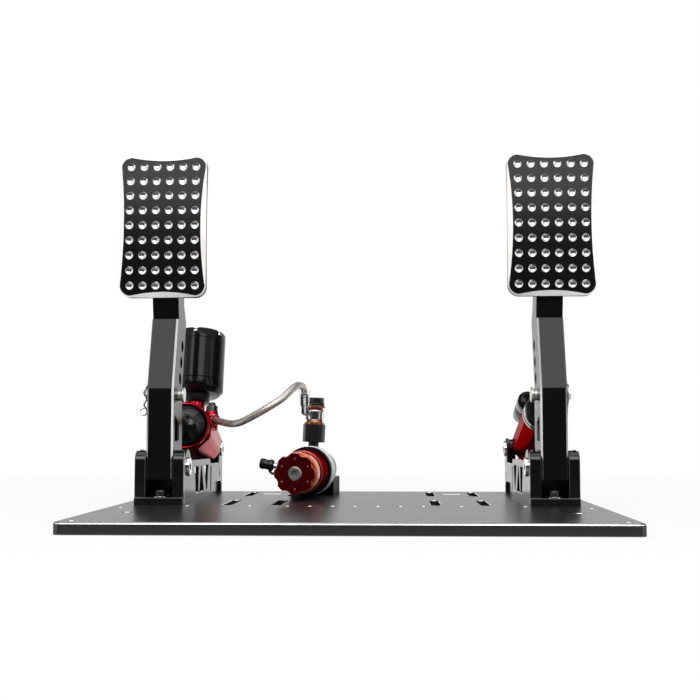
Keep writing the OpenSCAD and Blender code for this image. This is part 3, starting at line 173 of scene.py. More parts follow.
# Turned or ground metal: streaks drawn out along one axis
def makeStreakGroup():
    group, given, result = newGroup(
        "groundStreaks",
        [("NodeSocketVector", "Vector", None), ("NodeSocketColor", "Colour", (0.7, 0.7, 0.7, 1)),
         ("NodeSocketFloat", "Roughness", 0.2), ("NodeSocketFloat", "Spread", 0.1)],
        [("NodeSocketColor", "Colour"), ("NodeSocketFloat", "Roughness"), ("NodeSocketFloat", "Height")])
    vector = given.outputs["Vector"]
    fine = addNoise(group, vector, 260.0, 4.0, (1.0, 9.0, 9.0))
    stain = addNoise(group, vector, 55.0, 2.0)
    swing = addMath(group, "SUBTRACT", fine, 0.5)
    rough = addMath(group, "MULTIPLY_ADD", swing, given.outputs["Spread"])
    group.links.new(given.outputs["Roughness"], rough.node.inputs[2])
    group.links.new(addMath(group, "MAXIMUM", rough, 0.03), result.inputs["Roughness"])
    shade = group.nodes.new("ShaderNodeHueSaturation")
    group.links.new(given.outputs["Colour"], shade.inputs["Color"])
    both = addMath(group, "ADD", addRange(group, fine, 0.3, 0.7, 0.86, 1.06),
                   addRange(group, stain, 0.35, 0.65, -0.05, 0.05))
    group.links.new(both, shade.inputs["Value"])
    group.links.new(shade.outputs["Color"], result.inputs["Colour"])
    group.links.new(fine, result.inputs["Height"])
    return group


skinGroup = makeSkinGroup()
streakGroup = makeStreakGroup()


def startMaterial(name):
    material = bpy.data.materials.new(name)
    material.use_nodes = True
    tree = material.node_tree
    tree.nodes.clear()
    shader = tree.nodes.new("ShaderNodeBsdfPrincipled")
    output = tree.nodes.new("ShaderNodeOutputMaterial")
    tree.links.new(shader.outputs["BSDF"], output.inputs["Surface"])
    return material, tree, shader


def addBump(tree, shader, height, strength, depth):
    bump = tree.nodes.new("ShaderNodeBump")
    bump.inputs["Strength"].default_value = strength
    bump.inputs["Distance"].default_value = depth
    tree.links.new(height, bump.inputs["Height"])
    tree.links.new(bump.outputs["Normal"], shader.inputs["Normal"])


# One finish: a skin or streak group feeding a Principled shader with its own fixed values
def makeFinish(name, s):
    material, tree, shader = startMaterial(name)
    place = tree.nodes.new("ShaderNodeTexCoord")
    group = tree.nodes.new("ShaderNodeGroup")
    group.node_tree = s.get("group", skinGroup)
    tree.links.new(place.outputs["Object"], group.inputs["Vector"])
    group.inputs["Colour"].default_value = (*s["colour"], 1)
    for label in ("Roughness", "Spread", "Grain", "Dust"):
        if label.lower() in s and label in group.inputs:
            group.inputs[label].default_value = s[label.lower()]
    tree.links.new(group.outputs["Colour"], shader.inputs["Base Color"])
    tree.links.new(group.outputs["Roughness"], shader.inputs["Roughness"])
    for label, key in (("Metallic", "metallic"), ("Specular IOR Level", "specular"), ("Coat Weight", "coat"),
                       ("Coat Roughness", "coatRough"), ("Subsurface Weight", "soft")):
        if key in s:
            shader.inputs[label].default_value = s[key]
    if "tint" in s:
        shader.inputs["Specular Tint"].default_value = (*s["tint"], 1)
    addBump(tree, shader, group.outputs["Height"], s.get("bump", 0.1), s.get("depth", 0.00002))
    return material


finishSettings = {
    "plateBlack": {"colour": (0.011, 0.011, 0.0125), "roughness": 0.29, "spread": 0.05, "specular": 0.72,
                   "dust": 0.03},
    "frameBlack": {"colour": (0.0035, 0.0035, 0.004), "roughness": 0.18, "spread": 0.05, "specular": 0.5,
                   "dust": 0.02},
    "mattBlack": {"colour": (0.004, 0.004, 0.0045), "roughness": 0.34, "spread": 0.06, "specular": 0.22,
                  "dust": 0.02},
    "armBlack": {"colour": (0.0035, 0.0033, 0.0036), "roughness": 0.24, "spread": 0.05, "specular": 0.24,
                 "dust": 0.02},
    "cradleBlack": {"colour": (0.0025, 0.0025, 0.003), "roughness": 0.5, "spread": 0.06, "specular": 0.04,
                    "dust": 0.01},
    "faceBlack": {"colour": (0.004, 0.004, 0.0045), "roughness": 0.3, "spread": 0.05, "specular": 0.22,
                  "dust": 0.03},
    "reservoirBlack": {"colour": (0.005, 0.005, 0.006), "roughness": 0.13, "spread": 0.03, "specular": 0.18},
    "wornSteel": {"group": streakGroup, "colour": (0.44, 0.41, 0.38), "metallic": 1.0, "roughness": 0.38},
    "bareEdge": {"group": streakGroup, "colour": (0.80, 0.80, 0.82), "metallic": 1.0, "roughness": 0.26},
    "softEdge": {"colour": (0.012, 0.012, 0.013), "roughness": 0.24, "specular": 0.7, "dust": 0.0},
    "bareBevel": {"colour": (0.96, 0.94, 0.925), "metallic": 0.0, "roughness": 0.42, "spread": 0.04,
                  "dust": 0.0, "bump": 0.05},
    "brightSteel": {"group": streakGroup, "colour": (0.84, 0.83, 0.80), "metallic": 0.8, "roughness": 0.34},
    "redEdge": {"colour": (0.80, 0.24, 0.24), "metallic": 0.85, "roughness": 0.3, "dust": 0.0},
    "dimpleMetal": {"group": streakGroup, "colour": (0.74, 0.74, 0.76), "metallic": 1.0, "roughness": 0.24},
    "steel": {"group": streakGroup, "colour": (0.62, 0.62, 0.64), "metallic": 1.0, "roughness": 0.22},
    "chrome": {"group": streakGroup, "colour": (0.82, 0.82, 0.84), "metallic": 1.0, "roughness": 0.08,
               "spread": 0.03},
    # Dark steel, also laid inside screw sockets as painted shade
    "darkSteelAndSocketShade": {"group": streakGroup, "colour": (0.06, 0.06, 0.065), "metallic": 0.9, "roughness": 0.28},
    "redAnodised": {"colour": (0.235, 0.009, 0.019), "metallic": 1.0, "roughness": 0.26, "spread": 0.05,
                    "dust": 0.0, "tint": (0.62, 0.16, 0.18)},
    "brakeRed": {"colour": (0.33, 0.010, 0.018), "metallic": 1.0, "roughness": 0.2, "spread": 0.05,
                 "dust": 0.0, "tint": (1.0, 0.84, 0.84)},
    "deepRed": {"colour": (0.24, 0.006, 0.011), "metallic": 1.0, "roughness": 0.28, "spread": 0.05,
                "dust": 0.0, "tint": (0.5, 0.09, 0.1)},
    "copper": {"group": streakGroup, "colour": (0.62, 0.25, 0.13), "metallic": 1.0, "roughness": 0.28},
    "bronze": {"group": streakGroup, "colour": (0.50, 0.35, 0.16), "metallic": 1.0, "roughness": 0.35},
    "blackRubber": {"colour": (0.004, 0.004, 0.004), "roughness": 0.15, "spread": 0.04, "specular": 0.42,
                    "dust": 0.02},
    # Pale plastic of the slave ring, also laid on the damper canister as a painted highlight
    "palePlasticAndPaintedHighlight": {"colour": (0.86, 0.845, 0.82), "roughness": 0.38, "spread": 0.06, "specular": 0.5,
                    "dust": 0.0},
    "orangeRubber": {"colour": (0.85, 0.20, 0.035), "roughness": 0.16, "spread": 0.05, "specular": 0.5,
                     "soft": 0.15, "dust": 0.0},
}
finishes = {name: makeFinish(name, s) for name, s in finishSettings.items()}
print("finishes made:", len(finishes))


# Braided stainless hose, patterned on the tube's own UV map: U round the tube, V along it in turns; the
# weave's low parts carry painted shade
braidSettings = {"across": 10.0, "along": 1.0, "gapShade": (0.40, 0.345, 0.305, 1), "wire": (0.84, 0.79, 0.745, 1)}


def makeBraid(s):
    material, tree, shader = startMaterial("braidedHose")
    uv = tree.nodes.new("ShaderNodeUVMap")
    uv.uv_map = "braid"
    split = tree.nodes.new("ShaderNodeSeparateXYZ")
    tree.links.new(uv.outputs["UV"], split.inputs["Vector"])
    around = addMath(tree, "MULTIPLY", split.outputs["X"], s["across"])
    along = addMath(tree, "MULTIPLY", split.outputs["Y"], s["across"] * s["along"])
    first = addMath(tree, "ADD", around, along)
    second = addMath(tree, "SUBTRACT", around, along)
    waveFirst = addMath(tree, "PINGPONG", first, 0.5)
    waveSecond = addMath(tree, "PINGPONG", second, 0.5)
    crossing = addMath(tree, "SINE", addMath(tree, "MULTIPLY", around, 6.2832), 0)
    over = addMath(tree, "GREATER_THAN", crossing, 0.0)
    height = tree.nodes.new("ShaderNodeMix")
    tree.links.new(over, height.inputs[0])
    tree.links.new(waveFirst, height.inputs[2])
    tree.links.new(waveSecond, height.inputs[3])
    bundle = addMath(tree, "MULTIPLY", height.outputs[0], 2.0, True)
    # The gap tone darkens the weave where it is low: painted shade between the wire bundles
    tone = addMix(tree, bundle, s["gapShade"], s["wire"])
    tree.links.new(tone, shader.inputs["Base Color"])
    tree.links.new(addRange(tree, bundle, 0.0, 1.0, 0.55, 0.3), shader.inputs["Roughness"])
    shader.inputs["Metallic"].default_value = 0.85
    addBump(tree, shader, bundle, 0.5, 0.0002)
    return material


finishes["braidedHose"] = makeBraid(braidSettings)

# Brake hose: middle line in metres, from the brake cylinder's outlet to the banjo's ferrule
hoseSettings = {
    "diameter": 0.0066, "sides": 24, "steps": 8,
    "route": [(-0.1382, 0.1176, 0.0809), (-0.1345, 0.111, 0.0795), (-0.1295, 0.103, 0.0785),
              (-0.1245, 0.0945, 0.0775), (-0.1195, 0.0865, 0.077), (-0.114, 0.0785, 0.077),
              (-0.1075, 0.072, 0.0785), (-0.1005, 0.0665, 0.0815), (-0.0925, 0.063, 0.0855),
              (-0.0845, 0.062, 0.090), (-0.0765, 0.0635, 0.095), (-0.0695, 0.0675, 0.100),
              (-0.0645, 0.0735, 0.1055), (-0.0605, 0.081, 0.110), (-0.0575, 0.0895, 0.1125),
              (-0.0555, 0.098, 0.1125), (-0.054, 0.105, 0.1115), (-0.053, 0.111, 0.1075)]}


def smoothRoute(points, steps):
    line = [Vector(p) for p in points]
    line = [2 * line[0] - line[1]] + line + [2 * line[-1] - line[-2]]
    smooth = []
    for a, b, c, d in zip(line, line[1:], line[2:], line[3:]):
        for k in range(steps):
            t = k / steps
            smooth.append(0.5 * (2 * b + (c - a) * t + (2 * a - 5 * b + 4 * c - d) * t * t
                                 + (3 * b - a - 3 * c + d) * t ** 3))
    return smooth + [line[-2]]


def makeTube(name, path, radius, sides, uvName, turn):
    bm = bmesh.new()
    layer = bm.loops.layers.uv.new(uvName)
    way = (path[1] - path[0]).normalized()
    twist = way.to_track_quat("Z", "Y")
    ring = bmesh.ops.create_circle(bm, segments=sides, radius=radius, cap_ends=False,
                                   matrix=Matrix.Translation(path[0]) @ twist.to_matrix().to_4x4())
    edges = list({e for v in ring["verts"] for e in v.link_edges})
    firstEdges, run = edges, 0.0
    for index in range(1, len(path)):
        ahead = path[min(index + 1, len(path) - 1)] - path[index - 1]
        turned = way.rotation_difference(ahead.normalized())
        way = ahead.normalized()
        made = bmesh.ops.extrude_edge_only(bm, edges=edges)["geom"]
        verts = [g for g in made if isinstance(g, bmesh.types.BMVert)]
        edges = [g for g in made if isinstance(g, bmesh.types.BMEdge)]
        bmesh.ops.translate(bm, verts=verts, vec=path[index] - path[index - 1])
        bmesh.ops.rotate(bm, verts=verts, cent=path[index], matrix=turned.to_matrix())
        low, run = run, run + (path[index] - path[index - 1]).length
        fresh = set(verts)
        for face in {f for v in verts for f in v.link_faces}:
            for loop in face.loops:
                loop[layer].uv = (0.0, (run if loop.vert in fresh else low) / turn)
    order = {}
    bm.verts.index_update()
    for v in bm.verts:
        order[v] = v.index % sides
    for face in bm.faces:
        wraps = {order[loop.vert] for loop in face.loops} == {0, sides - 1}
        for loop in face.loops:
            column = order[loop.vert]
            loop[layer].uv.x = (column + (sides if wraps and column == 0 else 0)) / sides
    bmesh.ops.edgeloop_fill(bm, edges=firstEdges)
    bmesh.ops.edgeloop_fill(bm, edges=edges)
    bmesh.ops.recalc_face_normals(bm, faces=bm.faces)
    return finishMesh(bm, name)


def finishMesh(bm, name, angle=32, flats=False):
    bm.normal_update()
    for face in bm.faces:
        face.smooth = True
    mesh = bpy.data.meshes.new(name)
    bm.to_mesh(mesh)
    bm.free()
    if "custom_normal" in mesh.attributes:
        mesh.attributes.remove(mesh.attributes["custom_normal"])
    mesh.set_sharp_from_angle(angle=math.radians(angle))
    for face in mesh.polygons:
        face.use_smooth = not (flats and max(abs(c) for c in face.normal) > 0.9999)
    piece = bpy.data.objects.new(name, mesh)
    scene.collection.objects.link(piece)
    return piece


def settle(piece, body, slot, materials, *replaced):
    for material in materials:
        piece.data.materials.append(finishes[material])
    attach(piece, body)
    if replaced:
        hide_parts(*replaced)
    return piece


def facingWay(start, way):
    return Matrix.Translation(start) @ Vector(way).to_track_quat("Z", "Y").to_matrix().to_4x4()


def spinProfile(bm, profile, steps):
    line = [bm.verts.new((r, 0, z)) for r, z in profile]
    edges = [bm.edges.new(pair) for pair in zip(line, line[1:])]
    bmesh.ops.spin(bm, geom=line + edges, cent=(0, 0, 0), axis=(0, 0, 1), angle=2 * math.pi, steps=steps,
                   use_merge=True)
    bmesh.ops.remove_doubles(bm, verts=bm.verts, dist=1e-6)
    bmesh.ops.recalc_face_normals(bm, faces=bm.faces)


def makeHose(s):
    path = smoothRoute(s["route"], s["steps"])
    hose = makeTube("brakeHose", path, s["diameter"] / 2, s["sides"], "braid", math.pi * s["diameter"])
    settle(hose, "base", "braided_hose", ["braidedHose"], "brake_hose")


makeHose(hoseSettings)


# Dressed copies of the machined pieces: welded, flat faces joined, sharp edges chamfered bright
def sharpEdges(bm, angle):
    limit = math.radians(angle)
    return [e for e in bm.edges if len(e.link_faces) == 2 and e.calc_face_angle(0) > limit]


def weldedCopy(node, flat=0.4):
    bm = bmesh.new()
    bm.from_mesh(nodes[node].data)
    bmesh.ops.remove_doubles(bm, verts=bm.verts, dist=3e-6)
    bmesh.ops.dissolve_degenerate(bm, edges=bm.edges, dist=2e-6)
    bmesh.ops.dissolve_limit(bm, angle_limit=math.radians(flat), verts=bm.verts, edges=bm.edges)
    for face in bm.faces:
        face.material_index = 0
    return bm


def chamferEdges(bm, edges, width, segments, index):
    made = bmesh.ops.bevel(bm, geom=edges, offset=width, offset_type="OFFSET", segments=segments, profile=0.5,
                           affect="EDGES", material=-1, clamp_overlap=False)
    for face in made["faces"]:
        face.material_index = index
    return made["faces"]


# Level faces with many holes are filled again from their rims, so they shade flat
def refillFlats(bm):
    for way in (1, -1):
        flat = {f for f in bm.faces if f.normal.z * way > 0.9999 and f.material_index == 0}
        rims = [e for e in bm.edges if sum(f in flat for f in e.link_faces) == 1]
        bmesh.ops.delete(bm, geom=list(flat), context="FACES_KEEP_BOUNDARY")
        bmesh.ops.triangle_fill(bm, edges=rims, use_beauty=True, normal=(0, 0, way))


def dress(node, s):
    bm = weldedCopy(node)
    materials = [s["skin"]]
    width = s.get("chamfer", 0.0) * millimetre
    if width:
        edges = sharpEdges(bm, s.get("angle", 34))
        chamferEdges(bm, edges, width, s.get("segments", 1), 1 if "edge" in s else 0)
        if "edge" in s:
            materials.append(s["edge"])
    if s.get("refill"):
        refillFlats(bm)
    piece = finishMesh(bm, node + "_finished", s.get("smooth", 32), s.get("flats", False))
    return settle(piece, bodyOf[node], slotOf[node], materials, node)


# Arms: the long front edges carry a wide bare chamfer, the other outline edges a thin one
def dressArm(node, s):
    bm = weldedCopy(node)
    low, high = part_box(node)

    def onSide(edge):
        return any(all(abs(v.co.x - x) < 2e-5 for v in edge.verts) for x in (low[0], high[0]))

    def frontward(edge):
        return min(f.normal.y for f in edge.link_faces) < -0.6

    for width, finish, wanted in ((s["front"], 1, True), (s["back"], 2, False)):
        edges = [e for e in sharpEdges(bm, 60) if onSide(e) and e.calc_length() > s["long"]]
        chamferEdges(bm, [e for e in edges if frontward(e) == wanted], width, 1, finish)
    piece = finishMesh(bm, node + "_finished", 10, True)
    return settle(piece, bodyOf[node], slotOf[node], [s["skin"], s["edge"], s["rear"]], node)


# Frames, with chamfers in millimetres, and arms in metres
plateSettings = {"skin": "plateBlack", "edge": "bareEdge", "chamfer": 0.4, "refill": True, "flats": True}
blockSettings = {"skin": "frameBlack", "edge": "softEdge", "chamfer": 0.45, "flats": True}
sidePlateSettings = {"skin": "frameBlack", "edge": "bareEdge", "chamfer": 0.4, "flats": True}
armSettings = {"skin": "armBlack", "edge": "bareEdge", "rear": "softEdge", "front": 0.0015, "back": 0.0006,
               "long": 0.012}
cradleSettings = {"skin": "cradleBlack", "edge": "softEdge", "chamfer": 0.45}
dress("base_plate", plateSettings)
for unit in ("brake", "throttle"):
    dress(unit + "_pivot_block", blockSettings)
    dress(unit + "_rear_block", blockSettings)
    dress(unit + "_side_plate_inner", sidePlateSettings)
    dress(unit + "_side_plate_outer", sidePlateSettings)
    dressArm(unit + "_arm", armSettings)
dress("slave_cradle", cradleSettings)
print("frames dressed")

# Trim: each node's finish, its chamfer in millimetres and the angles taken as sharp and as smooth
trimSettings = {
    "pivot_shafts": {"skin": "steel"},
    "brake_arm_bushes": {"skin": "bronze"}, "throttle_arm_bushes": {"skin": "bronze"},
    "brake_rod_pin": {"skin": "brightSteel", "chamfer": 0.4},
    "throttle_rod_pin": {"skin": "brightSteel", "chamfer": 0.4},
    "master_cylinder": {"skin": "brakeRed", "edge": "redEdge", "chamfer": 0.3, "angle": 50, "smooth": 12},
    "master_front_cap": {"skin": "blackRubber", "chamfer": 0.4, "segments": 2},
    "reservoir": {"skin": "reservoirBlack", "chamfer": 0.3},
    "reservoir_cap": {"skin": "reservoirBlack", "chamfer": 0.4},
    "reservoir_screws": {"skin": "steel", "chamfer": 0.15},
    "outlet_bolt": {"skin": "darkSteelAndSocketShade", "chamfer": 0.3},
    "master_piston": {"skin": "steel"}, "damper_piston": {"skin": "steel"},
    "brake_pushrod": {"skin": "steel", "chamfer": 0.3}, "brake_rod_nut": {"skin": "steel", "chamfer": 0.4},
    "damper_tube": {"skin": "redAnodised", "edge": "redEdge", "chamfer": 0.3, "angle": 50, "smooth": 12},
    "damper_gland": {"skin": "frameBlack", "chamfer": 0.4},
    "damper_rings": {"skin": "chrome", "chamfer": 0.2},
    "damper_canister": {"skin": "reservoirBlack", "chamfer": 0.4},
    "damper_rod": {"skin": "steel", "chamfer": 0.3}, "damper_rod_nut": {"skin": "steel", "chamfer": 0.4},
    "slave_housing": {"skin": "deepRed", "chamfer": 0.4},
    "slave_collar": {"skin": "mattBlack", "chamfer": 0.4},
    "slave_pale_ring": {"skin": "palePlasticAndPaintedHighlight", "chamfer": 0.4},
    "slave_rear_housing": {"skin": "mattBlack", "chamfer": 0.4},
    "slave_guide_rod": {"skin": "wornSteel"},
    "slave_piston": {"skin": "deepRed", "edge": "redEdge", "chamfer": 0.4},
    "bleed_screw": {"skin": "steel", "chamfer": 0.2}, "bleed_cap": {"skin": "blackRubber", "chamfer": 0.3},
    "hose_union": {"skin": "darkSteelAndSocketShade", "chamfer": 0.4}, "banjo_eye": {"skin": "chrome", "chamfer": 0.3},
    "banjo_washers": {"skin": "copper", "chamfer": 0.2}, "banjo_bolt": {"skin": "darkSteelAndSocketShade", "chamfer": 0.4},
}
for node, settings in trimSettings.items():
    dress(node, settings)
print("trim dressed")

# Pedal plates: laid out flat with pressed dimples and hollowed bare bevels, then bowed
pedalSettings = {
    "half": (0.037, 0.061), "thick": 0.009, "corner": 0.0095, "bow": 0.320, "tilt": math.radians(1.3),
    "middle": (-0.014, 0.2452), "waist": 0.0042, "reach": (0.05625, 0.03225), "steep": 1.03,
    "backEdge": 0.0006, "columns": 6, "rows": 9, "pitch": (0.0112, 0.0129), "dimple": 0.0034, "deep": 0.00125,
    "dimpleSteps": (0.86, 0.7, 0.52, 0.34, 0.16), "cornerSteps": 14, "sideCuts": 40, "slices": 61}


def newOnes(made, kind):
    return [g for g in made["geom"] if isinstance(g, kind)]


def ringEdges(ring):
    return list({e for v in ring["verts"] for e in v.link_edges})


# Inward way and bevel width at a point of the plate's outline
def bevelAt(point, s):
    halfX, halfY = s["half"]
    x, y = abs(point.x) - (halfX - s["corner"]), abs(point.y) - (halfY - s["corner"])

    def hollow(along, reach):
        return s["waist"] * (1 - (along / reach) ** 2)

    way = Vector((max(x, 0), max(y, 0), 0)).normalized()
    share = math.atan2(max(y, 0), max(x, 0)) / (math.pi / 2)
    side = hollow(min(abs(point.y), halfY - s["corner"]), s["reach"][0])
    end = hollow(min(abs(point.x), halfX - s["corner"]), s["reach"][1])
    inward = Vector((math.copysign(way.x, -point.x), math.copysign(way.y, -point.y), 0))
    return inward, side * (1 - share) + end * share


def pressDimples(bm, centres, s):
    rings = [e for c in centres for e in ringEdges(bmesh.ops.create_circle(
        bm, segments=24, radius=s["dimple"], cap_ends=False, matrix=Matrix.Translation(c)))]
    edges, pressed = rings, []
    ball = (s["dimple"] ** 2 + s["deep"] ** 2) / (2 * s["deep"])
    for share in s["dimpleSteps"]:
        made = bmesh.ops.extrude_edge_only(bm, edges=edges)
        edges = newOnes(made, bmesh.types.BMEdge)
        pressed += newOnes(made, bmesh.types.BMFace)
        for v in newOnes(made, bmesh.types.BMVert):
            centre = min(centres, key=lambda c: (v.co.xy - c.xy).length_squared)
            r = s["dimple"] * share
            out = (v.co.xy - centre.xy).normalized() * r
            v.co = (centre.x + out.x, centre.y + out.y, ball - s["deep"] - math.sqrt(ball * ball - r * r))
    pressed += bmesh.ops.edgeloop_fill(bm, edges=edges)["faces"]
    return rings, pressed


def makePedalPlate(unit, s):
    node = unit + "_pedal_plate"
    low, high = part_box(node)
    bm = bmesh.new()
    bmesh.ops.create_grid(bm, x_segments=1, y_segments=1, size=1)
    for v in bm.verts:
        v.co = (math.copysign(s["half"][0], v.co.x), math.copysign(s["half"][1], v.co.y), 0)
    bmesh.ops.bevel(bm, geom=list(bm.verts), offset=s["corner"], offset_type="OFFSET",
                    segments=s["cornerSteps"], profile=0.5, affect="VERTICES", material=-1)
    bmesh.ops.delete(bm, geom=list(bm.faces), context="FACES_ONLY")
    sides = [e for e in bm.edges if e.calc_length() > s["corner"]]
    bmesh.ops.bisect_edges(bm, edges=sides, cuts=s["sideCuts"])
    outline = list(bm.edges)

    # Bevel inwards to the face and walls backwards
    made = bmesh.ops.extrude_edge_only(bm, edges=outline)
    inner = newOnes(made, bmesh.types.BMEdge)
    bevelFaces = newOnes(made, bmesh.types.BMFace)
    for v in newOnes(made, bmesh.types.BMVert):
        way, width = bevelAt(v.co, s)
        v.co += way * width
    for v in {v for e in outline for v in e.verts}:
        v.co.z = -s["steep"] * bevelAt(v.co, s)[1]
    edges = outline
    for depth, inset in ((s["thick"] - s["backEdge"], 0), (s["thick"], s["backEdge"])):
        made = bmesh.ops.extrude_edge_only(bm, edges=edges)
        edges = newOnes(made, bmesh.types.BMEdge)
        for v in newOnes(made, bmesh.types.BMVert):
            v.co += bevelAt(v.co, s)[0] * inset
            v.co.z = -depth
    bmesh.ops.triangle_fill(bm, edges=edges, use_beauty=True)

    # Dimples pressed in rows, and the face filled round them
    stepX, stepY = s["pitch"]
    centres = [Vector((stepX * (i - (s["columns"] - 1) / 2),
                       s["bow"] * math.sin(stepY * (j - (s["rows"] - 1) / 2) / s["bow"]), 0))
               for i in range(s["columns"]) for j in range(s["rows"])]
    rings, pressed = pressDimples(bm, centres, s)
    bmesh.ops.triangle_fill(bm, edges=inner + rings, use_beauty=True)
    for faces, index in ((pressed, 1), (bevelFaces, 2)):
        for face in faces:
            face.material_index = index
    bmesh.ops.recalc_face_normals(bm, faces=bm.faces)

    # Sliced along its length and bowed about an axis behind it
    for k in range(1, s["slices"]):
        flat = [f for f in bm.faces if abs(f.normal.z) > 0.999 and f.material_index == 0]
        geom = flat + list({e for f in flat for e in f.edges}) + list({v for f in flat for v in f.verts})
        bmesh.ops.bisect_plane(bm, geom=geom, dist=1e-7, plane_no=(0, 1, 0),
                               plane_co=(0, s["half"][1] * (2 * k / s["slices"] - 1), 0))
    sine, cosine = math.sin(s["tilt"]), math.cos(s["tilt"])
    for v in bm.verts:
        along = v.co.y
        deep = s["bow"] - math.sqrt((s["bow"] + v.co.z) ** 2 - along ** 2)
        v.co = ((low[0] + high[0]) / 2 + v.co.x, s["middle"][0] + along * sine + deep * cosine,
                s["middle"][1] + along * cosine - deep * sine)
    piece = finishMesh(bm, node + "_finished", 24)
    return settle(piece, bodyOf[node], slotOf[node], ["faceBlack", "dimpleMetal", "bareBevel"], node)


for unit in ("brake", "throttle"):
    makePedalPlate(unit, pedalSettings)
print("pedal plates made")

# Socket screws: each solid of the CAD node is measured and remade with a soft head and a hexagon socket, the
# socket darkened with painted shade
screwSettings = {
    "mounting_bolts": {"axes": [(0, 0, 1)], "skin": "darkSteelAndSocketShade", "soft": 0.0007, "socket": 0.56, "deep": 0.5,
                       "washer": [(5.05, 0), (5.05, 1.0), (6.9, 1.0), (7.2, 0.7), (7.2, 0)]},
    "cap_screws": {"axes": [(1, 0, 0)], "skin": "chrome", "soft": 0.0006, "socket": 0.42, "deep": 0.6},
    "brake_plate_screws": {"axes": [], "tilts": (-4.7, 2.3), "skin": "steel", "soft": 0.0006, "socket": 0.56,
                           "deep": 0.5},
}
screwSettings["throttle_plate_screws"] = screwSettings["brake_plate_screws"]


def solidsOf(node):
    bm = weldedCopy(node)
    left, solids = set(bm.verts), []
    while left:
        reach, solid = [left.pop()], []
        while reach:
            v = reach.pop()
            solid.append(v.co.copy())
            near = {e.other_vert(v) for e in v.link_edges} & left
            left -= near
            reach += near
        solids.append(solid)
    bm.free()
    return solids


def measureScrew(solid, axes, centre):
    middle = sum(solid, Vector()) / len(solid)

    def spans(axis):
        return [((p - middle).dot(axis), (p - middle - axis * (p - middle).dot(axis)).length) for p in solid]

    axis = min(axes, key=lambda a: max(r for t, r in spans(a)))
    found = spans(axis)
    head = max(r for t, r in found)
    rim = [t for t, r in found if r > 0.97 * head]
    rest = [(t, r) for t, r in found if t < min(rim) - 1e-5 or t > max(rim) + 1e-5]
    if rest:
        turned = sum(t for t, r in rest) / len(rest) > max(rim)
    else:
        turned = (middle - centre).dot(axis) < 0
    low, high = min(t for t, r in found), max(t for t, r in found)
    top = middle + axis * (min(rim) if turned else max(rim))
    shaft = max([r for t, r in rest] or [0.5 * head])
    return top, -axis if turned else axis, head, max(rim) - min(rim), shaft, high - low


def addPart(bm, part, index=None):
    if index is not None:
        for face in part.faces:
            face.material_index = index
    spare = bpy.data.meshes.new("spare")
    part.to_mesh(spare)
    part.free()
    bm.from_mesh(spare)
    bpy.data.meshes.remove(spare)


def addScrew(bm, sizes, s):
    top, way, head, tall, shaft, length = sizes
    soft = s["soft"]
    part = bmesh.new()
    profile = [(head - soft, 0), (head - 0.3 * soft, -0.3 * soft), (head, -soft), (head, -tall)]
    if length > tall + soft:
        profile += [(shaft, -tall), (shaft, soft - length)]
        profile += [(shaft - soft, -length), (0, -length)]
    else:
        profile += [(0, -tall)]
    spinProfile(part, profile, 40)
    rim = [e for e in part.edges if len(e.link_faces) == 1]
    hexagon = ringEdges(bmesh.ops.create_circle(part, segments=6, radius=s["socket"] * head, cap_ends=False))
    bmesh.ops.triangle_fill(part, edges=rim + hexagon, use_beauty=True)
    made = bmesh.ops.extrude_edge_only(part, edges=hexagon)
    bmesh.ops.translate(part, verts=newOnes(made, bmesh.types.BMVert), vec=(0, 0, -s["deep"] * tall))
    floor = bmesh.ops.edgeloop_fill(part, edges=newOnes(made, bmesh.types.BMEdge))["faces"]
    # The socket's walls and floor take the dark steel finish: painted shade in the recess
    for face in newOnes(made, bmesh.types.BMFace) + floor:
        face.material_index = 1
    bmesh.ops.recalc_face_normals(part, faces=part.faces)
    bmesh.ops.transform(part, verts=part.verts, matrix=facingWay(top, way))
    addPart(bm, part)


def makeScrews(node, s):
    bm = bmesh.new()
    tilts = [math.radians(a) for a in s.get("tilts", ())]
    axes = [Vector(a) for a in s["axes"]] + [Vector((0, -math.cos(a), math.sin(a))) for a in tilts]
    for solid in solidsOf(node):
        side = math.copysign(unitSettings["side"], solid[0].x)
        sizes = measureScrew(solid, axes, Vector((side, 0, 0)))
        addScrew(bm, sizes, s)
        if "washer" in s and sizes[1].z > 0.9:
            part = bmesh.new()
            spinProfile(part, [(r * millimetre, z * millimetre) for r, z in s["washer"]], 40)
            bmesh.ops.translate(part, verts=part.verts, vec=sizes[0] - sizes[1] * sizes[3])
            addPart(bm, part, 2)
    piece = finishMesh(bm, node + "_finished", 30)
    settle(piece, bodyOf[node], slotOf[node], [s["skin"], "darkSteelAndSocketShade", "steel"], node)


for node, settings in screwSettings.items():
    makeScrews(node, settings)
print("screws made")

# Wire clips of the rod pins, from the CAD wire's leg: side, front-to-back and height from the pin's middle
clipSettings = {
    "radius": 0.0008, "sides": 12, "steps": 6, "leg": 0.0142, "turn": 0.01,
    "brake": [(0, 0, 0.011), (0, 0, 0.004), (0, 0, -0.0065), (0.0018, 0, -0.0105), (0.0058, -0.001, -0.0112),
              (0.0082, -0.002, -0.0135), (0.0070, -0.003, -0.0168), (0.0030, -0.004, -0.0172),
              (0.0012, -0.0052, -0.0135), (0.0034, -0.0060, -0.0085), (0.0012, -0.0062, -0.0035),
              (0.0036, -0.0062, 0.0015), (0.0014, -0.0060, 0.0065), (0.0030, -0.0052, 0.0105)],
    "throttle": [(0, 0, 0.011), (0, 0, 0.004), (0, 0, -0.0065), (0, 0.0020, -0.0100), (0, 0.0042, -0.0135),
                 (0, 0.0018, -0.0168), (0, -0.0024, -0.0160), (0, -0.0034, -0.0120),
                 (0.0004, -0.0058, -0.0060), (0.0004, -0.0062, 0.0), (0.0012, -0.0050, 0.0055),
                 (0.0006, -0.0034, 0.0085)]}


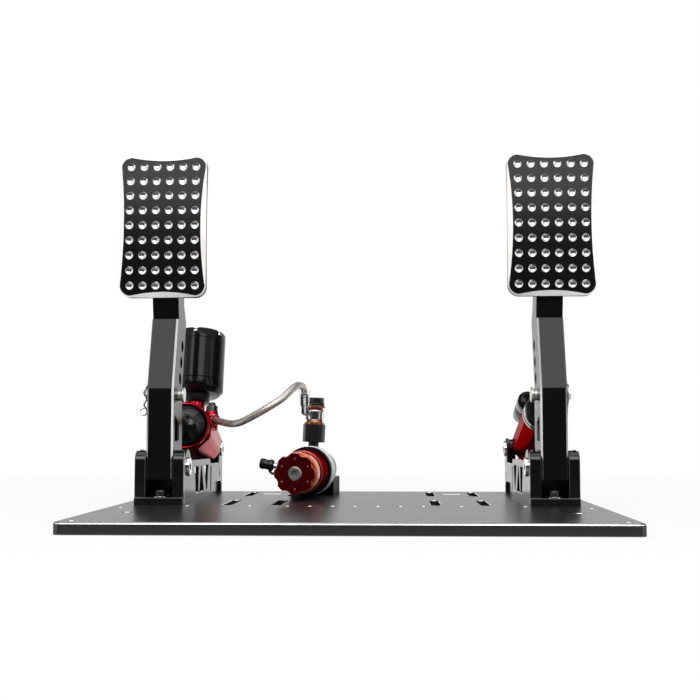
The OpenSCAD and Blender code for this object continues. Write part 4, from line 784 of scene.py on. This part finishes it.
def makeClip(unit, s):
    node = unit + "_pin_clip"
    out = -1 if unit == "brake" else 1
    start = Vector((out * (unitSettings["side"] + s["leg"]), *unitSettings["pin"]))
    path = smoothRoute([start + Vector((out * a, b, c)) for a, b, c in s[unit]], s["steps"])
    piece = makeTube(unit + "PinClip", path, s["radius"], s["sides"], "wire", s["turn"])
    settle(piece, bodyOf[node], slotOf[node], ["chrome"], node)


for unit in ("brake", "throttle"):
    makeClip(unit, clipSettings)
print("clips made")

# Turned trim on the rod lines: place is side, height off the rod line and run along it from the rear shaft;
# profiles, rings and threads are in millimetres
turnedSettings = {
    # Pale band on the damper canister: painted highlight standing in for the canister's white crescent
    # reflection
    "canisterHighlightBand": {"unit": "throttle", "place": (-0.007, 0.025, 0.0688), "like": "damper_canister",
                     "finish": "palePlasticAndPaintedHighlight", "profile": [(8.2, 0), (9.05, 0.6), (9.05, 5.6), (8.2, 6.2)]},
    "brakeRodThread": {"unit": "brake", "place": (0, 0, 0.1566), "like": "brake_pushrod", "finish": "steel",
                       "thread": (4.0, 0.28, 1.25, 15)},
    "damperRodThread": {"unit": "throttle", "place": (0, 0, 0.1566), "like": "damper_rod", "finish": "steel",
                        "thread": (4.5, 0.28, 1.25, 15)},
    "bootRings": {"unit": "brake", "place": (0, 0, 0.0872), "like": "master_front_cap",
                  "finish": "blackRubber", "bead": 0.45,
                  "rings": [(20.3, 0.6), (17.4, 4.6), (13.4, 8.3), (8.6, 11.2)]},
    "bootSeat": {"unit": "brake", "place": (0, 0, 0.0872), "like": "master_cylinder", "finish": "brakeRed",
                 "profile": [(20.9, 0), (22.4, 0), (22.5, 0.2), (22.5, 3.2), (21.7, 4), (20.9, 4),
                             (20.9, 0)]},
    "neckCollar": {"unit": "brake", "place": (0, 0.0355, 0.042), "like": "reservoir", "finish": "mattBlack",
                   "up": True, "profile": [(9.1, 0), (12.4, 0.6), (13.0, 1.4), (13.0, 8.2), (9.1, 8.4)]},
}


def rodLine(unit, side, up, run):
    centre = -unitSettings["side"] if unit == "brake" else unitSettings["side"]
    (rearY, rearZ), (pinY, pinZ) = unitSettings["rear"], unitSettings["pin"]
    tilt = math.atan2(pinZ - rearZ, rearY - pinY)
    sine, cosine = math.sin(tilt), math.cos(tilt)
    return Vector((centre + side, rearY - run * cosine + up * sine, rearZ + run * sine + up * cosine))


def makeTurned(name, s):
    bm = bmesh.new()
    profiles = []
    if "thread" in s:
        core, tall, pitch, turns = s["thread"]
        crests = [(core + tall * (k % 2), pitch * (k + 1) / 2) for k in range(2 * turns)]
        profiles.append([(core, 0)] + crests)
    for r, z in s.get("rings", ()):
        angles = [k * math.pi / 4 for k in range(9)]
        profiles.append([(r + s["bead"] * math.cos(a), z + s["bead"] * math.sin(a)) for a in angles])
    if "profile" in s:
        profiles.append(s["profile"])
    for profile in profiles:
        spinProfile(bm, [(r * millimetre, z * millimetre) for r, z in profile], 36 if "thread" in s else 64)
    rear = rodLine(s["unit"], 0, 0, 0)
    way = (rodLine(s["unit"], 0, 1, 0) if s.get("up") else rodLine(s["unit"], 0, 0, 1)) - rear
    bmesh.ops.transform(bm, verts=bm.verts, matrix=facingWay(rodLine(s["unit"], *s["place"]), way))
    settle(finishMesh(bm, name, 40), bodyOf[s["like"]], slotOf[s["like"]], [s["finish"]])


for name, settings in turnedSettings.items():
    makeTurned(name, settings)
print("turned trim made")

# Springs inside both cylinders, each a dressed copy of its CAD node
springSettings = {
    "master_spring": {"unit": "brake", "skin": "steel", "joint": "brake_rod_slide", "stroke": 0.0112},
    "damper_spring": {"unit": "throttle", "skin": "steel", "joint": "throttle_rod_slide", "stroke": 0.0155},
}


def makeSpring(node, s):
    piece = dress(node, s)
    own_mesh(piece)


for node, settings in springSettings.items():
    makeSpring(node, settings)
print("springs made")

# Crimped ferrule round the hose's end, with a plain lip at both ends: each step is the run along it and
# how much it is rounded in and fluted
ferruleSettings = {"elbow": (-0.054, 0.130, 0.089), "end": (-0.053, 0.111, 0.1075), "grip": 0.016,
                   "radius": 0.0049, "soft": 0.0003, "flute": 0.00045, "count": 12,
                   "steps": [(0.0003, 0, 0), (0.0018, 0, 0), (0.0024, 0, 1), (0.0136, 0, 1), (0.0142, 0, 0),
                             (0.0157, 0, 0), (0.016, 1, 0)]}


def makeFerrule(s):
    bm = bmesh.new()
    edges = ringEdges(bmesh.ops.create_circle(bm, segments=6 * s["count"], radius=s["radius"] - s["soft"],
                                              cap_ends=False))
    for run, rounded, fluted in s["steps"]:
        made = bmesh.ops.extrude_edge_only(bm, edges=edges)
        edges = newOnes(made, bmesh.types.BMEdge)
        for v in newOnes(made, bmesh.types.BMVert):
            angle = math.atan2(v.co.y, v.co.x)
            hollow = s["flute"] * (0.5 + 0.5 * math.cos(s["count"] * angle))
            r = s["radius"] - s["soft"] * rounded - hollow * fluted
            v.co = (r * math.cos(angle), r * math.sin(angle), run)
    bmesh.ops.recalc_face_normals(bm, faces=bm.faces)
    end = Vector(s["end"])
    way = (end - Vector(s["elbow"])).normalized()
    bmesh.ops.transform(bm, verts=bm.verts, matrix=facingWay(end - way * s["grip"], way))
    settle(finishMesh(bm, "hoseFerrule", 35), bodyOf["banjo_eye"], slotOf["banjo_eye"], ["chrome"])


makeFerrule(ferruleSettings)
print("ferrule made")

# Preload knob: lobed rim on a tapered hub, with pressed marks round the guide rod
knobSettings = {"radius": 0.0185, "hub": 0.0162, "bore": 0.0065, "length": 0.016, "rim": 0.0055,
                "soft": 0.0005, "grooves": 8, "groove": 0.006, "bite": 0.0018, "marks": 6, "mark": 0.00105,
                "markRing": 0.0133, "markDeep": 0.0007, "sides": 192}


def makeKnob(s):
    middle = s["radius"] + s["groove"] - s["bite"]

    def lobed(angle):
        step = 2 * math.pi / s["grooves"]
        off = (angle % step) - step / 2
        across = s["groove"] ** 2 - (middle * math.sin(off)) ** 2
        return min(s["radius"], middle * math.cos(off) - math.sqrt(across)) if across > 0 else s["radius"]

    bm = bmesh.new()
    rim = ringEdges(bmesh.ops.create_circle(bm, segments=s["sides"], radius=1, cap_ends=False))
    bore = ringEdges(bmesh.ops.create_circle(bm, segments=s["sides"], radius=s["bore"], cap_ends=False))

    def shape(verts, inset, z, limit=1.0):
        for v in verts:
            angle = math.atan2(v.co.y, v.co.x)
            r = min(lobed(angle) - inset, limit)
            v.co = (r * math.cos(angle), r * math.sin(angle), z)

    shape({v for e in rim for v in e.verts}, s["soft"], 0)
    edges, bright = rim, []
    steps = [(0, s["soft"], 1), (0, s["rim"], 1), (s["soft"], s["rim"] + s["soft"], 1),
             (0, s["length"], s["hub"]), (0, s["length"], s["bore"])]
    for inset, z, limit in steps:
        made = bmesh.ops.extrude_edge_only(bm, edges=edges)
        edges = newOnes(made, bmesh.types.BMEdge)
        shape(newOnes(made, bmesh.types.BMVert), inset, z, limit)
        if z in (s["soft"], s["rim"] + s["soft"]):
            bright += newOnes(made, bmesh.types.BMFace)
    made = bmesh.ops.extrude_edge_only(bm, edges=bore)
    bmesh.ops.translate(bm, verts=newOnes(made, bmesh.types.BMVert), vec=(0, 0, s["length"]))
    marks = []
    for k in range(s["marks"]):
        angle = 2 * math.pi / s["marks"] * (k + 0.5)
        place = (s["markRing"] * math.cos(angle), s["markRing"] * math.sin(angle), 0)
        marks += ringEdges(bmesh.ops.create_circle(bm, segments=16, radius=s["mark"], cap_ends=False,
                                                   matrix=Matrix.Translation(place)))
    bmesh.ops.triangle_fill(bm, edges=rim + bore + marks, use_beauty=True)
    made = bmesh.ops.extrude_edge_only(bm, edges=marks)
    bmesh.ops.translate(bm, verts=newOnes(made, bmesh.types.BMVert), vec=(0, 0, s["markDeep"]))
    bright += bmesh.ops.edgeloop_fill(bm, edges=newOnes(made, bmesh.types.BMEdge))["faces"]
    for face in bright:
        face.material_index = 1
    bmesh.ops.remove_doubles(bm, verts=bm.verts, dist=2e-6)
    bmesh.ops.recalc_face_normals(bm, faces=bm.faces)
    bmesh.ops.transform(bm, verts=bm.verts, matrix=facingWay(slaveFront, slaveWay))
    settle(finishMesh(bm, "preloadKnob", 30), bodyOf["preload_knob"], slotOf["preload_knob"],
           ["deepRed", "redEdge"], "preload_knob")


makeKnob(knobSettings)
print("knob made")

# Orange elastomer, squeezed between the knob and the piston's flange
elastomerSettings = {"start": 0.0161, "end": 0.0347, "radius": 0.0179, "bulge": 0.0005, "soft": 0.0010,
                     "keep": 0.774}


def makeElastomer(s):
    bm = bmesh.new()
    length = s["end"] - s["start"]
    r, soft = s["radius"], s["soft"]
    turns = (0.5, 1.05)
    profile = [(0, 0), (r - soft, 0)]
    profile += [(r - soft + soft * math.sin(a), soft - soft * math.cos(a)) for a in turns]
    for share in [k / 10 for k in range(11)]:
        profile.append((r + s["bulge"] * math.sin(math.pi * share), soft + (length - 2 * soft) * share))
    profile += [(r - soft + soft * math.cos(a), length - soft + soft * math.sin(a)) for a in turns]
    profile += [(r - soft, length), (0, length)]
    spinProfile(bm, profile, 96)
    start = slaveFront + slaveWay * s["start"]
    bmesh.ops.transform(bm, verts=bm.verts, matrix=facingWay(start, slaveWay))
    piece = finishMesh(bm, "elastomerBlock", 40)
    settle(piece, "base", "orange_elastomer", ["orangeRubber"], "elastomer")
    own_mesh(piece)


makeElastomer(elastomerSettings)
print("elastomer made")

# Plain studio: a lit white backdrop behind, a dark room in front, and soft boxes above and at both sides
studioSettings = {
    "floor": 6.0, "floorTone": 0.82, "worldTone": 0.5, "roomTone": 0.03, "backdrop": (0.4, 0.7),
    "sky": (0.5, 0.25), "frontSky": (0.3, 0.5), "frontSkyTone": 0.9, "frontFade": (0.3, 0.0),
    "floorFront": 0.06, "floorFade": (-0.4, 0.0), "floorShine": 0.84, "clearFrom": (0.45, 1.1),
    "aim": (0, 0, 0.12),
    "lamps": {"topLamp": {"place": (0, 0.1, 1.8), "size": (1.6, 1.4), "shine": 1.2},
              "frontLamp": {"place": (0, -1.25, 1.05), "size": (1.8, 0.8), "shine": 3.3},
              "leftLamp": {"place": (-1.5, -0.6, 0.45), "size": (0.95, 1.0), "shine": 1.3},
              "rightLamp": {"place": (1.5, -0.6, 0.45), "size": (0.95, 1.0), "shine": 1.3}}}


def makeWorld(s):
    world = bpy.data.worlds.new("studioWorld")
    scene.world = world
    world.use_nodes = True
    tree = world.node_tree
    tree.nodes.clear()
    output = tree.nodes.new("ShaderNodeOutputWorld")
    shine = tree.nodes.new("ShaderNodeBackground")
    tree.links.new(shine.outputs["Background"], output.inputs["Surface"])
    way = tree.nodes.new("ShaderNodeTexCoord")
    split = tree.nodes.new("ShaderNodeSeparateXYZ")
    tree.links.new(way.outputs["Generated"], split.inputs["Vector"])
    lowSky = addRange(tree, split.outputs["Z"], *s["sky"], 0.0, 1.0)
    facing = addMath(tree, "MULTIPLY", addRange(tree, split.outputs["Y"], *s["backdrop"], 0.0, 1.0), lowSky)
    behind = addRange(tree, facing, 0.0, 1.0, s["roomTone"], 1.0)
    highSky = addRange(tree, split.outputs["Z"], *s["frontSky"], 0.0, s["frontSkyTone"])
    inFront = addRange(tree, split.outputs["Y"], *s["frontFade"], 0.0, 1.0)
    room = addMath(tree, "MAXIMUM", behind, addMath(tree, "MULTIPLY", highSky, inFront))
    path = tree.nodes.new("ShaderNodeLightPath")
    mirrored = addMath(tree, "MAXIMUM", path.outputs["Is Glossy Ray"], path.outputs["Is Transmission Ray"])
    tone = addMix(tree, mirrored, (s["worldTone"],) * 3 + (1,), room)
    tree.links.new(addMix(tree, path.outputs["Is Camera Ray"], tone, (1, 1, 1, 1)), shine.inputs["Color"])


# The floor is white to the camera and keeps a soft shadow; in reflections it darkens towards the front
def makeFloor(s):
    bm = bmesh.new()
    bmesh.ops.create_grid(bm, x_segments=1, y_segments=1, size=s["floor"])
    floor = finishMesh(bm, "floor")
    material = bpy.data.materials.new("paleFloor")
    material.use_nodes = True
    tree = material.node_tree
    tree.nodes.clear()
    output = tree.nodes.new("ShaderNodeOutputMaterial")
    matt = tree.nodes.new("ShaderNodeBsdfDiffuse")
    matt.inputs["Color"].default_value = (s["floorTone"],) * 3 + (1,)
    place = tree.nodes.new("ShaderNodeTexCoord")
    split = tree.nodes.new("ShaderNodeSeparateXYZ")
    tree.links.new(place.outputs["Object"], split.inputs["Vector"])
    away = tree.nodes.new("ShaderNodeVectorMath")
    away.operation = "LENGTH"
    tree.links.new(place.outputs["Object"], away.inputs[0])
    path = tree.nodes.new("ShaderNodeLightPath")
    mirrored = addMath(tree, "MAXIMUM", path.outputs["Is Glossy Ray"], path.outputs["Is Transmission Ray"])
    front = addRange(tree, split.outputs["Y"], *s["floorFade"], s["floorFront"], 1.0)
    clear = addRange(tree, away.outputs["Value"], *s["clearFrom"], s["floorShine"], 1.0)
    glow = tree.nodes.new("ShaderNodeEmission")
    tree.links.new(addMix(tree, mirrored, (1, 1, 1, 1), front), glow.inputs["Color"])
    seen = addMath(tree, "MULTIPLY", path.outputs["Is Camera Ray"], clear)
    mix = tree.nodes.new("ShaderNodeMixShader")
    tree.links.new(addMath(tree, "ADD", seen, mirrored, True), mix.inputs["Fac"])
    tree.links.new(matt.outputs["BSDF"], mix.inputs[1])
    tree.links.new(glow.outputs["Emission"], mix.inputs[2])
    tree.links.new(mix.outputs["Shader"], output.inputs["Surface"])
    floor.data.materials.append(material)


def makeStudio(s):
    makeWorld(s)
    makeFloor(s)
    for name, box in s["lamps"].items():
        width, height = box["size"]
        data = bpy.data.lights.new(name, "AREA")
        data.shape = "RECTANGLE"
        data.size = width
        data.size_y = height
        data.energy = box["shine"] * math.pi * width * height
        lamp = bpy.data.objects.new(name, data)
        lamp.location = box["place"]
        way = Vector(s["aim"]) - Vector(box["place"])
        lamp.rotation_euler = way.to_track_quat("-Z", "Y").to_euler()
        scene.collection.objects.link(lamp)


makeStudio(studioSettings)
print("studio made")
